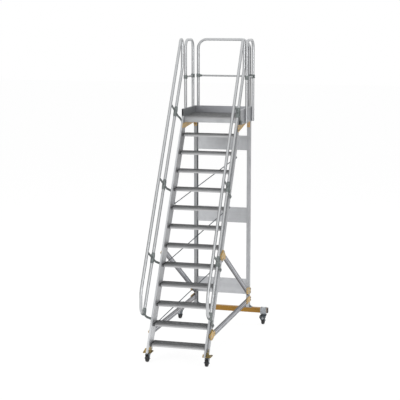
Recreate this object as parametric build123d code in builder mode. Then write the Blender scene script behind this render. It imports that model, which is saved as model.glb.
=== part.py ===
"""Mobile platform stairs: a steep aluminium stair with a railed platform, on four swivel castors.

Frame: +X to the climber's right, +Y from the foot of the stair to the platform's rear, +Z up, millimetres.
The origin lies on the floor, under the middle of the whole machine.
"""
import math
import os

from build123d import *

os.makedirs("parts", exist_ok=True)

# Stair line: the slanted line through the tread noses, which meets the floor at FOOT_Y
STEP_COUNT = 12
RISE = 240.0
PITCH = 60.0
GOING = RISE / math.tan(math.radians(PITCH))
SLOPE_COS = math.cos(math.radians(PITCH))
SLOPE_SIN = math.sin(math.radians(PITCH))

# Fits
SEAT_GAP = 0.3

# Treads and deck planks, extruded aluminium with ribs along the length
TREAD_LENGTH = 762.0
TREAD_DEPTH = 192.0
TREAD_NOSE = 37.0
NOSE_DEPTH = 30.0
PLANK_SKIN = 3.0
PLANK_REAR_LIP = 28.0
RIB_PITCH = 12.0
RIB_WIDTH = 5.0
RIB_HEIGHT = 2.0
TREAD_CAP_LENGTH = 24.0
TREAD_CAP_WALL = 4.0

# Stringers: a rear box chamber and a front channel that opens outwards
STRINGER_WIDTH = 25.0
STRINGER_FRONT = 52.0
STRINGER_REAR = 138.0
STRINGER_WALL = 3.0
STRINGER_FLANGE = 8.0
STRINGER_CHAMBER = 93.0
STRINGER_BOTTOM = 137.0

# Platform
DECK_Z = RISE * (STEP_COUNT + 1)
DECK_FRONT = GOING * (STEP_COUNT + 1)
PLATFORM_DEPTH = 695.0
PLATFORM_HALF = 430.0
SIDE_BEAM_WIDTH = 25.0
SIDE_BEAM_HEIGHT = 110.0
FRONT_BEAM_HEIGHT = 88.0
FRONT_BEAM_DEPTH = 40.0
BEAM_WALL = 3.0
DECK_PLANKS = 3
DECK_PLANK_GAP = 2.0
BEARER_WIDTH = 40.0
TOE_BOARD_HEIGHT = 98.0
TOE_BOARD_THICKNESS = 25.0
TOE_BOARD_WALL = 2.5

# Tubes of the guard rail and handrails
TUBE_RADIUS = 20.0
TUBE_WALL = 2.5
GUARD_HEIGHT = 1080.0
GUARD_KNEE_HEIGHT = 535.0
GUARD_POST_DROP = 108.0
GUARD_SIDE_FRONT_SETBACK = 270.0
GUARD_SIDE_REAR_SETBACK = 39.0
GUARD_SIDE_RADIUS = 110.0
GUARD_REAR_INSET = 44.0
GUARD_REAR_RADIUS = 130.0
KNEE_RADIUS = 13.0
SOCKET_LIP = 1.0
CLAMP_RADIUS = 27.0
CLAMP_LENGTH = 52.0
CLAMP_TAPER = 60.0

# Handrail loop, by offsets square to the stair line and by upright stretches
HANDRAIL_OFFSET = 505.0
HANDRAIL_KNEE_OFFSET = 243.0
HANDRAIL_FOOT_AHEAD = 30.0
HANDRAIL_TOP_PAST_DECK = 107.0
HANDRAIL_FOOT_BEND = 70.0
HANDRAIL_SLOPE_BEND = 300.0
HANDRAIL_TOP_BEND = 45.0
HANDRAIL_KNEE_BEND = 150.0
HANDRAIL_START_DROP = 10.0

# Handrail brackets: distance up the stair line, offset of the foot behind it, what the foot is
# bolted to, whether the arm goes on to the handrail, and the sleeve's reach down and up the knee rail
BRACKETS = (
    (608.0, 104.0, "stringer", False, 16.0, 80.0),
    (1385.0, 104.0, "stringer", True, 75.0, 75.0),
    (2447.0, 104.0, "stringer", True, 75.0, 75.0),
    (3548.0, 72.0, "platform", True, 75.0, 75.0),
)
SLEEVE_TAPER = 38.0
SLEEVE_LIP = 2.0
FOOT_SOCKET = 40.0
BRACKET_THICKNESS = 12.0
BRACKET_WIDTH = 28.0
BRACKET_FOOT_RADIUS = 25.0
BRACKET_JOG_TOP = 105.0
BRACKET_JOG_BOTTOM = 40.0

# Rear legs and the boards between them
LEG_WIDTH = 45.0
LEG_DEPTH = 80.0
LEG_WALL = 4.0
LEG_OUTER = 422.5
LEG_REAR_SETBACK = 5.0
PANELS = (
    ("lower", 434.0, 227.0),
    ("middle", 1508.0, 225.0),
    ("upper", 2582.0, 212.0),
)
PANEL_DEPTH = 30.0
PANEL_SHEET = 2.5
PANEL_RETURN = 18.0

# Struts between stringer and leg: distance up the stair line at the front, height at the leg
STRUTS = (
    ("upper", 1605.0, 462.0),
    ("lower", 495.0, 352.0),
)
STRUT_DEPTH = 72.0
STRUT_WIDTH = 25.0
STRUT_WALL = 4.0
STRUT_GROOVE = 1.5
STRUT_GROOVE_OUTER = 40.0
STRUT_GROOVE_INNER = 24.0
BRACKET_PLATE = 5.0

# Pressed strut brackets: corners round the strut's end, then clamp height and bottom at the leg
STRUT_PLATE_LAP = 128.0
STRUT_PLATE_LEAN = 56.0
STRUT_PLATE_HALF = 52.0
STRUT_PLATE_WAIST = 38.0
STRUT_PLATE_REACH = 76.0
STRUT_PLATE_CORNER = 22.0
STRUT_PLATE_RIM = 4.0
LEG_CLAMPS = (
    (404.0, 134.0),
    (289.0, 104.0),
)
LEG_CLAMP_REACH = 58.0
LEG_CLAMP_CORNER = 26.0
LEG_CLAMP_BULGE = 12.0
LEG_CLAMP_DRAFT = 30.0

# Tie rods behind the treads: distance up the stair line at the left end and at the right end
TIE_RODS = (
    (620.0, 1540.0),
    (1466.0, 2320.0),
    (2345.0, 3070.0),
)
TIE_ROD_RADIUS = 6.0
TIE_ROD_CLEARANCE = 7.0
TIE_LUG = 5.0
TIE_LUG_WIDTH = 30.0
TIE_LUG_END = 14.0

# Gussets under the platform
STRINGER_GUSSET_REACH = 400.0
STRINGER_GUSSET_LAP = 70.0
STRINGER_GUSSET_HEIGHT = 92.0
GUSSET_TIP_HEIGHT = 14.0
LEG_GUSSET_HEIGHT = 85.0
LEG_GUSSET_REACH = 105.0

# Rear cross beam on the floor side, wider than the stair
BEAM_HALF = 704.0
BEAM_BOTTOM = 168.0
BEAM_HEIGHT = 72.0
BEAM_DEPTH = 60.0
BEAM_SKIN = 3.0
BEAM_CAP = 12.0
FOOT_PLATE = 6.0
FOOT_PLATE_LENGTH = 120.0
FOOT_RIB_HEIGHT = 40.0

# Castors: place of the swivel axis, wheel size and trail
FRONT_CASTOR_X = 407.0
FRONT_CASTOR_Y = 136.0
FRONT_WHEEL_RADIUS = 50.0
FRONT_TRAIL = 38.0
FRONT_PLATE_Z = 126.0
REAR_WHEEL_RADIUS = 62.5
REAR_TRAIL = 38.0
REAR_PLATE_Z = 158.0
WHEEL_WIDTH = 36.0
TYRE_DEPTH = 12.0
TYRE_CROWN = 6.0
HUB_RADIUS = 14.0
HUB_WEB = 8.0
AXLE_RADIUS = 6.0
AXLE_HEAD_RADIUS = 10.0
AXLE_HEAD = 5.0
FORK_PLATE = 3.0
FORK_CLEARANCE = 5.0
FORK_CROWN_CLEARANCE = 6.0
FORK_CROWN = 5.0
FORK_EYE = 15.0
BEARING_RADIUS = 30.0
RACE_HEIGHT = 5.0
CASTOR_PLATE = 6.0
FRONT_PLATE_WIDTH = 116.0
FRONT_PLATE_LENGTH = 132.0
FRONT_PLATE_CORNER = 12.0
FRONT_CHEEK_CLEARANCE = 4.0
FRONT_CHEEK_TOP_HALF = 40.0
OUTER_CHEEK_TOP = 210.0
OUTER_CHEEK_TOP_WIDTH = 56.0
OUTER_CHEEK_SHOULDER = 18.0
OUTER_GUSSET_HEIGHT = 58.0
INNER_GUSSET_HEIGHT = 34.0
GUSSET_TOP_WIDTH = 24.0
GUSSET_INSET = 14.0
CLAMP_BAND_WIDTH = 94.0
CLAMP_BAND = 4.0
CLAMP_END_GAP = 5.0

# Stamped brake pedals that hood the fronts of the rear wheels, as seen from the front
PEDAL_RADIUS = 70.0
PEDAL_SHEET = 4.0
PEDAL_TOP_WIDTH = 96.0
PEDAL_BOTTOM_WIDTH = 46.0
PEDAL_BOTTOM = 82.0
PEDAL_SHOULDER = 112.0
SWIVEL_DISC_RADIUS = 46.0
SWIVEL_DISC = 10.0

# Values that follow from the sizes above
DECK_REAR = DECK_FRONT + PLATFORM_DEPTH
STRINGER_INNER = TREAD_LENGTH / 2
STRINGER_OUTER = STRINGER_INNER + STRINGER_WIDTH
SIDE_BEAM_BOTTOM = DECK_Z - SIDE_BEAM_HEIGHT
SIDE_BEAM_INNER = PLATFORM_HALF - SIDE_BEAM_WIDTH
RAIL_X = PLATFORM_HALF + TUBE_RADIUS + SEAT_GAP
GUARD_REAR_HALF = PLATFORM_HALF - GUARD_REAR_INSET
GUARD_REAR_Y = DECK_REAR + TUBE_RADIUS + SEAT_GAP
GUARD_TOP = DECK_Z + GUARD_HEIGHT - TUBE_RADIUS
GUARD_KNEE_Z = DECK_Z + GUARD_KNEE_HEIGHT
POST_BOTTOM = DECK_Z - GUARD_POST_DROP
BEAM_TOP = BEAM_BOTTOM + BEAM_HEIGHT
REAR_CASTOR_X = BEAM_HALF - BEAM_CAP - CLAMP_END_GAP - CLAMP_BAND_WIDTH / 2
LEG_REAR = DECK_REAR - LEG_REAR_SETBACK
LEG_FRONT = LEG_REAR - LEG_DEPTH
LEG_Y = (LEG_FRONT + LEG_REAR) / 2
LEG_INNER = LEG_OUTER - LEG_WIDTH
STRUT_INNER = LEG_OUTER - STRUT_WIDTH
HANDRAIL_TOP_Y = DECK_FRONT + HANDRAIL_TOP_PAST_DECK
FOOT_Y = -(GUARD_REAR_Y + CLAMP_RADIUS - HANDRAIL_FOOT_AHEAD - TUBE_RADIUS) / 2


def finish(piece, label):
    """Label a finished piece and write it."""
    piece.label = label
    export_step(piece, f"parts/{label}.step")


def finish_pair(piece, label):
    """Write a right-hand piece and its mirror image on the left."""
    with BuildPart() as mirrored:
        mirror(piece, about=Plane.YZ)
    finish(piece, f"{label}_right")
    finish(mirrored.part, f"{label}_left")


def side_plane(x):
    """Upright plane across the machine at x: local x runs rearwards from the foot, local y up."""
    return Plane(origin=(x, FOOT_Y, 0), x_dir=(0, 1, 0), z_dir=(1, 0, 0))


def stair_plane(x):
    """Upright plane at x turned to the slope: local x up the stair line, local y square to it."""
    return Plane(origin=(x, FOOT_Y, 0), x_dir=(0, SLOPE_COS, SLOPE_SIN), z_dir=(1, 0, 0))


def slope_point(along, offset):
    """Distance behind the foot and height of a point given along the stair line and square to it."""
    return along * SLOPE_COS - offset * SLOPE_SIN, along * SLOPE_SIN + offset * SLOPE_COS


def slope_offset(y, z):
    """Offset square to the stair line of a point given by distance behind the foot and height."""
    return z * SLOPE_COS - y * SLOPE_SIN


def rail_plane(along, offset):
    """Plane across a rail at RAIL_X that runs up the slope, facing up the slope."""
    y, z = slope_point(along, offset)
    return Plane(origin=(RAIL_X, FOOT_Y + y, z), x_dir=(1, 0, 0), z_dir=(0, SLOPE_COS, SLOPE_SIN))


def square_plane(along, offset):
    """Plane at RAIL_X along the slope, facing square away from the stair line."""
    y, z = slope_point(along, offset)
    return Plane(origin=(RAIL_X, FOOT_Y + y, z), x_dir=(1, 0, 0), z_dir=(0, -SLOPE_SIN, SLOPE_COS))


def height_at(offset, y):
    """Height at which a line parallel to the stair line crosses the upright at y."""
    return (offset + y * SLOPE_SIN) / SLOPE_COS


def plank(depth, nose, nose_y, top_z, length):
    """Ribbed hollow-nosed plank, with the ribs' tops at top_z and the nose's face at nose_y."""
    skin_top = -RIB_HEIGHT
    rib_count = int((depth - RIB_WIDTH) // RIB_PITCH) + 1
    rib_middle = (depth - RIB_WIDTH - (rib_count - 1) * RIB_PITCH) / 2 + RIB_WIDTH / 2
    web_y = (NOSE_DEPTH + depth) / 2
    with BuildPart() as piece:
        with BuildSketch(side_plane(0).offset(-length / 2)):
            with Locations((nose_y, top_z + skin_top)):
                Rectangle(depth, PLANK_SKIN, align=(Align.MIN, Align.MAX))
                Rectangle(NOSE_DEPTH, nose + skin_top, align=(Align.MIN, Align.MAX))
            with Locations((nose_y + PLANK_SKIN, top_z + skin_top - PLANK_SKIN)):
                Rectangle(
                    NOSE_DEPTH - 2 * PLANK_SKIN,
                    nose + skin_top - 2 * PLANK_SKIN,
                    align=(Align.MIN, Align.MAX),
                    mode=Mode.SUBTRACT,
                )
            with Locations(
                (nose_y + depth - PLANK_SKIN, top_z + skin_top),
                (nose_y + web_y, top_z + skin_top),
            ):
                Rectangle(PLANK_SKIN, PLANK_REAR_LIP, align=(Align.MIN, Align.MAX))
            with Locations((nose_y + rib_middle + (rib_count - 1) * RIB_PITCH / 2, top_z + skin_top)):
                with GridLocations(RIB_PITCH, 1, rib_count, 1):
                    Rectangle(RIB_WIDTH, RIB_HEIGHT, align=(Align.CENTER, Align.MIN))
        extrude(amount=length)
    return piece.part


def tube_along(path, radius, wall):
    """Round hollow tube whose axis is the given line."""
    with BuildPart() as piece:
        with BuildSketch(Plane(origin=path @ 0, z_dir=path % 0)):
            Circle(radius)
            Circle(radius - wall, mode=Mode.SUBTRACT)
        sweep(path=path)
    return piece.part


# Stringers
stringer_length = DECK_Z / SLOPE_SIN + 2 * STRINGER_REAR
chamber_front = STRINGER_CHAMBER - STRINGER_REAR
with BuildPart() as stringer:
    with BuildSketch(stair_plane(STRINGER_INNER)):
        with Locations((0, -STRINGER_REAR)):
            Rectangle(stringer_length, STRINGER_FRONT + STRINGER_REAR, align=(Align.MIN, Align.MIN))
    extrude(amount=STRINGER_WIDTH)
    with BuildSketch(stair_plane(STRINGER_INNER + STRINGER_WALL)):
        with Locations((0, chamber_front)):
            Rectangle(
                stringer_length,
                STRINGER_FRONT - STRINGER_FLANGE - chamber_front,
                align=(Align.MIN, Align.MIN),
            )
    extrude(amount=STRINGER_WIDTH, mode=Mode.SUBTRACT)
    with BuildSketch(stair_plane(STRINGER_INNER + STRINGER_WALL)):
        with Locations((0, STRINGER_WALL - STRINGER_REAR)):
            Rectangle(stringer_length, STRINGER_CHAMBER - 2 * STRINGER_WALL, align=(Align.MIN, Align.MIN))
    extrude(amount=STRINGER_WIDTH - 2 * STRINGER_WALL, mode=Mode.SUBTRACT)
    split(bisect_by=Plane.XY.offset(STRINGER_BOTTOM), keep=Keep.TOP)
    split(bisect_by=Plane.XY.offset(DECK_Z - RIB_HEIGHT), keep=Keep.BOTTOM)
    split(bisect_by=Plane(origin=(0, FOOT_Y + DECK_FRONT, 0), z_dir=(0, 1, 0)), keep=Keep.BOTTOM)
finish_pair(stringer.part, "stringer")

# Treads and their black end caps
tread_span = TREAD_LENGTH - 2 * TREAD_CAP_LENGTH
for step in range(1, STEP_COUNT + 1):
    tread = plank(TREAD_DEPTH, TREAD_NOSE, step * GOING, step * RISE, tread_span)
    finish(tread, f"tread_{step:02d}")

with BuildPart() as tread_caps:
    for step in range(1, STEP_COUNT + 1):
        with BuildSketch(side_plane(STRINGER_INNER - TREAD_CAP_LENGTH)):
            with Locations((step * GOING, step * RISE)):
                Rectangle(TREAD_DEPTH, TREAD_NOSE, align=(Align.MIN, Align.MAX))
            with Locations((step * GOING + NOSE_DEPTH, step * RISE - PLANK_REAR_LIP)):
                Rectangle(TREAD_DEPTH, TREAD_NOSE, align=(Align.MIN, Align.MAX), mode=Mode.SUBTRACT)
        extrude(amount=TREAD_CAP_LENGTH)
        with BuildSketch(side_plane(STRINGER_INNER - TREAD_CAP_LENGTH)):
            with Locations((step * GOING + NOSE_DEPTH, step * RISE - RIB_HEIGHT - PLANK_SKIN)):
                Rectangle(
                    TREAD_DEPTH - NOSE_DEPTH - TREAD_CAP_WALL,
                    PLANK_REAR_LIP,
                    align=(Align.MIN, Align.MAX),
                )
        extrude(amount=TREAD_CAP_LENGTH - TREAD_CAP_WALL, mode=Mode.SUBTRACT)
    mirror(about=Plane.YZ)
finish(tread_caps.part, "tread_end_caps")

# Platform deck of ribbed planks between the side beams
plank_depth = (PLATFORM_DEPTH - (DECK_PLANKS - 1) * DECK_PLANK_GAP) / DECK_PLANKS
with BuildPart() as platform_deck:
    for row in range(DECK_PLANKS):
        nose_y = DECK_FRONT + row * (plank_depth + DECK_PLANK_GAP)
        add(plank(plank_depth, TREAD_NOSE, nose_y, DECK_Z, 2 * SIDE_BEAM_INNER))
finish(platform_deck.part, "platform_deck")

# Platform frame: channel beams at the sides, box beams across
frame_top = DECK_Z - TREAD_NOSE
with BuildPart() as side_beams:
    with BuildSketch(Plane.XZ.offset(-(FOOT_Y + DECK_FRONT))):
        with Locations((SIDE_BEAM_INNER, SIDE_BEAM_BOTTOM)):
            Rectangle(SIDE_BEAM_WIDTH, SIDE_BEAM_HEIGHT, align=(Align.MIN, Align.MIN))
        with Locations((SIDE_BEAM_INNER + BEAM_WALL, SIDE_BEAM_BOTTOM + BEAM_WALL)):
            Rectangle(
                SIDE_BEAM_WIDTH - 2 * BEAM_WALL,
                SIDE_BEAM_HEIGHT - 2 * BEAM_WALL,
                align=(Align.MIN, Align.MIN),
                mode=Mode.SUBTRACT,
            )
    extrude(amount=-PLATFORM_DEPTH)
    mirror(about=Plane.YZ)
finish(side_beams.part, "platform_side_beams")


def cross_beam(front_y, depth, bottom, top, length, wall):
    """Box beam across the machine, open at its ends."""
    with BuildPart() as piece:
        with BuildSketch(side_plane(-length / 2)):
            with Locations((front_y, bottom)):
                Rectangle(depth, top - bottom, align=(Align.MIN, Align.MIN))
            with Locations((front_y + wall, bottom + wall)):
                Rectangle(
                    depth - 2 * wall,
                    top - bottom - 2 * wall,
                    align=(Align.MIN, Align.MIN),
                    mode=Mode.SUBTRACT,
                )
        extrude(amount=length)
    return piece.part


front_beam_bottom = DECK_Z - FRONT_BEAM_HEIGHT
finish(
    cross_beam(DECK_FRONT, FRONT_BEAM_DEPTH, front_beam_bottom, frame_top, 2 * SIDE_BEAM_INNER, BEAM_WALL),
    "platform_front_beam",
)
rear_beam_y = DECK_REAR - FRONT_BEAM_DEPTH
finish(
    cross_beam(rear_beam_y, FRONT_BEAM_DEPTH, SIDE_BEAM_BOTTOM, frame_top, 2 * SIDE_BEAM_INNER, BEAM_WALL),
    "platform_rear_beam",
)
with BuildPart() as bearers:
    for row in range(1, DECK_PLANKS):
        bearer_y = DECK_FRONT + row * (plank_depth + DECK_PLANK_GAP) - DECK_PLANK_GAP - BEARER_WIDTH / 2
        add(cross_beam(bearer_y, BEARER_WIDTH, front_beam_bottom, frame_top, 2 * SIDE_BEAM_INNER, BEAM_WALL))
finish(bearers.part, "platform_bearers")

# Toe boards on three sides
toe_top = DECK_Z + TOE_BOARD_HEIGHT
with BuildPart() as toe_board_side:
    with BuildSketch(Plane.XZ.offset(-(FOOT_Y + DECK_FRONT))):
        with Locations((PLATFORM_HALF - TOE_BOARD_THICKNESS, DECK_Z)):
            Rectangle(TOE_BOARD_THICKNESS, TOE_BOARD_HEIGHT, align=(Align.MIN, Align.MIN))
        with Locations((PLATFORM_HALF - TOE_BOARD_THICKNESS + TOE_BOARD_WALL, DECK_Z + TOE_BOARD_WALL)):
            Rectangle(
                TOE_BOARD_THICKNESS - 2 * TOE_BOARD_WALL,
                TOE_BOARD_HEIGHT - 2 * TOE_BOARD_WALL,
                align=(Align.MIN, Align.MIN),
                mode=Mode.SUBTRACT,
            )
    extrude(amount=-PLATFORM_DEPTH)
finish_pair(toe_board_side.part, "toe_board")
toe_rear_length = 2 * (PLATFORM_HALF - TOE_BOARD_THICKNESS)
finish(
    cross_beam(
        DECK_REAR - TOE_BOARD_THICKNESS,
        TOE_BOARD_THICKNESS,
        DECK_Z,
        toe_top,
        toe_rear_length,
        TOE_BOARD_WALL,
    ),
    "toe_board_rear",
)

# Guard rails: bent tubes standing outside the platform frame
side_post_front = DECK_FRONT + GUARD_SIDE_FRONT_SETBACK
side_post_rear = DECK_REAR - GUARD_SIDE_REAR_SETBACK
with BuildLine() as guard_side_line:
    FilletPolyline(
        (RAIL_X, FOOT_Y + side_post_front, POST_BOTTOM),
        (RAIL_X, FOOT_Y + side_post_front, GUARD_TOP),
        (RAIL_X, FOOT_Y + side_post_rear, GUARD_TOP),
        (RAIL_X, FOOT_Y + side_post_rear, POST_BOTTOM),
        radius=GUARD_SIDE_RADIUS,
    )
finish_pair(tube_along(guard_side_line.line, TUBE_RADIUS, TUBE_WALL), "guard_rail")
with BuildLine() as guard_rear_line:
    FilletPolyline(
        (-GUARD_REAR_HALF, FOOT_Y + GUARD_REAR_Y, POST_BOTTOM),
        (-GUARD_REAR_HALF, FOOT_Y + GUARD_REAR_Y, GUARD_TOP),
        (GUARD_REAR_HALF, FOOT_Y + GUARD_REAR_Y, GUARD_TOP),
        (GUARD_REAR_HALF, FOOT_Y + GUARD_REAR_Y, POST_BOTTOM),
        radius=GUARD_REAR_RADIUS,
    )
finish(tube_along(guard_rear_line.line, TUBE_RADIUS, TUBE_WALL), "guard_rail_rear")


def knee_rail(start, end):
    """Round knee rail from post to post, with a clamp collar round each post and tapered sockets."""
    first, last = Vector(*start), Vector(*end)
    direction = (last - first).normalized()
    bore = TUBE_RADIUS + SEAT_GAP
    with BuildPart() as piece:
        with BuildSketch(Plane(origin=first, z_dir=direction)):
            Circle(KNEE_RADIUS)
        extrude(amount=(last - first).length)
        for centre, inward in ((first, direction), (last, direction * -1)):
            with BuildSketch(Plane(origin=centre, z_dir=inward)):
                Circle(CLAMP_RADIUS - BRACKET_PLATE)
            with BuildSketch(Plane(origin=centre + inward * CLAMP_TAPER, z_dir=inward)):
                Circle(KNEE_RADIUS + SOCKET_LIP)
            loft()
            with BuildSketch(Plane(origin=centre - Vector(0, 0, CLAMP_LENGTH / 2))):
                Circle(CLAMP_RADIUS)
            extrude(amount=CLAMP_LENGTH)
        for centre in (first, last):
            with BuildSketch(Plane(origin=centre - Vector(0, 0, CLAMP_LENGTH))):
                Circle(bore)
            extrude(amount=2 * CLAMP_LENGTH, mode=Mode.SUBTRACT)
    return piece.part


finish_pair(
    knee_rail(
        (RAIL_X, FOOT_Y + side_post_front, GUARD_KNEE_Z),
        (RAIL_X, FOOT_Y + side_post_rear, GUARD_KNEE_Z),
    ),
    "guard_knee_rail",
)
finish(
    knee_rail(
        (-GUARD_REAR_HALF, FOOT_Y + GUARD_REAR_Y, GUARD_KNEE_Z),
        (GUARD_REAR_HALF, FOOT_Y + GUARD_REAR_Y, GUARD_KNEE_Z),
    ),
    "guard_knee_rail_rear",
)

# Handrails: one bent tube a side, whose foot turns in, square to the slope, into the lowest bracket
lowest_along = BRACKETS[0][0]
foot_end = HANDRAIL_KNEE_OFFSET + CLAMP_RADIUS
foot_corner = (lowest_along * SLOPE_COS + HANDRAIL_FOOT_AHEAD) / SLOPE_SIN
handrail_corners = (
    slope_point(lowest_along - HANDRAIL_START_DROP, HANDRAIL_KNEE_OFFSET),
    (HANDRAIL_TOP_Y, height_at(HANDRAIL_KNEE_OFFSET, HANDRAIL_TOP_Y)),
    (HANDRAIL_TOP_Y, height_at(HANDRAIL_OFFSET, HANDRAIL_TOP_Y)),
    (-HANDRAIL_FOOT_AHEAD, height_at(HANDRAIL_OFFSET, -HANDRAIL_FOOT_AHEAD)),
    slope_point(lowest_along, foot_corner),
    slope_point(lowest_along, foot_end),
)
with BuildLine() as handrail_line:
    FilletPolyline(
        *[(RAIL_X, FOOT_Y + y, z) for y, z in handrail_corners],
        radius=[HANDRAIL_KNEE_BEND, HANDRAIL_TOP_BEND, HANDRAIL_SLOPE_BEND, HANDRAIL_FOOT_BEND],
    )
finish_pair(tube_along(handrail_line.line, TUBE_RADIUS, TUBE_WALL), "handrail")

# Handrail brackets: bent straps on the stringers, with a tapered sleeve round the knee rail
SEATS = {"stringer": STRINGER_OUTER, "platform": PLATFORM_HALF}
with BuildPart() as handrail_brackets:
    for along, foot_offset, seat, reaches_handrail, below, above in BRACKETS:
        foot_x = SEATS[seat]
        foot_back = foot_x + BRACKET_THICKNESS
        arm_inner = RAIL_X - BRACKET_THICKNESS / 2
        arm_outer = RAIL_X + BRACKET_THICKNESS / 2
        arm_top = HANDRAIL_OFFSET if reaches_handrail else HANDRAIL_KNEE_OFFSET
        across = Plane(
            origin=(0, FOOT_Y + along * SLOPE_COS, along * SLOPE_SIN),
            x_dir=(1, 0, 0),
            z_dir=(0, -SLOPE_COS, -SLOPE_SIN),
        )
        with BuildSketch(across.offset(-BRACKET_WIDTH / 2)):
            with BuildLine():
                Polyline(
                    (foot_x, -foot_offset),
                    (foot_x, BRACKET_JOG_BOTTOM),
                    (arm_inner, BRACKET_JOG_TOP),
                    (arm_inner, arm_top),
                    (arm_outer, arm_top),
                    (arm_outer, BRACKET_JOG_TOP - BRACKET_THICKNESS / 2),
                    (foot_back, BRACKET_JOG_BOTTOM - BRACKET_THICKNESS / 2),
                    (foot_back, -foot_offset),
                    close=True,
                )
            make_face()
        extrude(amount=BRACKET_WIDTH)
        with BuildSketch(stair_plane(foot_x)):
            with Locations((along, -foot_offset)):
                Circle(BRACKET_FOOT_RADIUS)
        extrude(amount=BRACKET_THICKNESS)
        sleeve = rail_plane(along, HANDRAIL_KNEE_OFFSET)
        bore = TUBE_RADIUS + SEAT_GAP
        straight_below = max(below - SLEEVE_TAPER, below / 2)
        for reach, straight, radius in (
            (-below, -straight_below, bore + SLEEVE_LIP if reaches_handrail else CLAMP_RADIUS),
            (above, above - SLEEVE_TAPER, bore + SLEEVE_LIP),
        ):
            with BuildSketch(sleeve):
                Circle(CLAMP_RADIUS)
            extrude(amount=straight)
            with BuildSketch(sleeve.offset(straight)):
                Circle(CLAMP_RADIUS)
            with BuildSketch(sleeve.offset(reach)):
                Circle(radius)
            loft()
        for tube_offset in (HANDRAIL_KNEE_OFFSET, HANDRAIL_OFFSET):
            lowest = -below if reaches_handrail else -HANDRAIL_START_DROP
            with BuildSketch(rail_plane(along, tube_offset).offset(lowest)):
                Circle(bore)
            extrude(amount=above - lowest, mode=Mode.SUBTRACT)
    with BuildSketch(square_plane(lowest_along, foot_end)):
        Circle(CLAMP_RADIUS)
        Circle(TUBE_RADIUS + SEAT_GAP, mode=Mode.SUBTRACT)
    extrude(amount=FOOT_SOCKET)
    with BuildSketch(square_plane(lowest_along, HANDRAIL_KNEE_OFFSET + TUBE_RADIUS + 2 * SEAT_GAP)):
        Circle(CLAMP_RADIUS)
    extrude(amount=CLAMP_RADIUS - TUBE_RADIUS - 2 * SEAT_GAP)
finish_pair(handrail_brackets.part, "handrail_brackets")

# Rear legs: channels open towards each other, from the cross beam up to the platform frame
with BuildPart() as leg:
    with BuildSketch(Plane.XY.offset(BEAM_TOP + FOOT_PLATE)):
        with Locations((LEG_INNER, FOOT_Y + LEG_FRONT)):
            Rectangle(LEG_WIDTH, LEG_DEPTH, align=(Align.MIN, Align.MIN))
        with Locations((LEG_INNER, FOOT_Y + LEG_FRONT + LEG_WALL)):
            Rectangle(
                LEG_WIDTH - LEG_WALL,
                LEG_DEPTH - 2 * LEG_WALL,
                align=(Align.MIN, Align.MIN),
                mode=Mode.SUBTRACT,
            )
    extrude(amount=SIDE_BEAM_BOTTOM - BEAM_TOP - FOOT_PLATE)
finish_pair(leg.part, "leg")

# Boards between the legs: folded sheet, open to the rear
panel_half = LEG_OUTER - LEG_WALL
for label, bottom, height in PANELS:
    with BuildPart() as panel:
        with BuildSketch(side_plane(-panel_half)):
            with Locations((LEG_Y - PANEL_DEPTH / 2, bottom)):
                Rectangle(PANEL_DEPTH, height, align=(Align.MIN, Align.MIN))
            with Locations((LEG_Y - PANEL_DEPTH / 2 + PANEL_SHEET, bottom + PANEL_SHEET)):
                Rectangle(
                    PANEL_DEPTH - 2 * PANEL_SHEET,
                    height - 2 * PANEL_SHEET,
                    align=(Align.MIN, Align.MIN),
                    mode=Mode.SUBTRACT,
                )
            with Locations((LEG_Y, bottom + PANEL_RETURN)):
                Rectangle(
                    PANEL_DEPTH,
                    height - 2 * PANEL_RETURN,
                    align=(Align.MIN, Align.MIN),
                    mode=Mode.SUBTRACT,
                )
        extrude(amount=2 * panel_half)
    finish(panel.part, f"cross_panel_{label}")

# Struts: grooved box sections from the back of the stringer to the front of the leg
def strut_frame(along, leg_z):
    """Start of a strut's axis in the side view, and its unit direction."""
    start = slope_point(along, -STRINGER_REAR)
    length = math.hypot(LEG_FRONT - start[0], leg_z - start[1])
    return start, ((LEG_FRONT - start[0]) / length, (leg_z - start[1]) / length)


def strut_outline(along, leg_z, depth):
    """Four corners of a strut of the given depth, cut to the stringer's slope and to the upright leg."""
    start, run = strut_frame(along, leg_z)
    corners = []
    for side in (-1, 1):
        y = start[0] - run[1] * side * depth / 2
        z = start[1] + run[0] * side * depth / 2
        front = (-STRINGER_REAR - slope_offset(y, z)) / slope_offset(*run)
        rear = (LEG_FRONT - y) / run[0]
        pair = [(y + run[0] * front, z + run[1] * front), (y + run[0] * rear, z + run[1] * rear)]
        corners += pair if side < 0 else pair[::-1]
    return corners


for label, along, leg_z in STRUTS:
    with BuildPart() as struts:
        with BuildSketch(side_plane(STRUT_INNER)):
            Polygon(*strut_outline(along, leg_z, STRUT_DEPTH), align=None)
        extrude(amount=STRUT_WIDTH)
        with BuildSketch(side_plane(STRUT_INNER + STRUT_WALL)):
            Polygon(*strut_outline(along, leg_z, STRUT_DEPTH - 2 * STRUT_WALL), align=None)
        extrude(amount=STRUT_WIDTH - 2 * STRUT_WALL, mode=Mode.SUBTRACT)
        for face in (STRUT_INNER, LEG_OUTER - STRUT_GROOVE):
            with BuildSketch(side_plane(face)):
                Polygon(*strut_outline(along, leg_z, STRUT_GROOVE_OUTER), align=None)
                Polygon(*strut_outline(along, leg_z, STRUT_GROOVE_INNER), align=None, mode=Mode.SUBTRACT)
            extrude(amount=STRUT_GROOVE, mode=Mode.SUBTRACT)
        mirror(about=Plane.YZ)
    finish(struts.part, f"{label}_struts")

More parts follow.
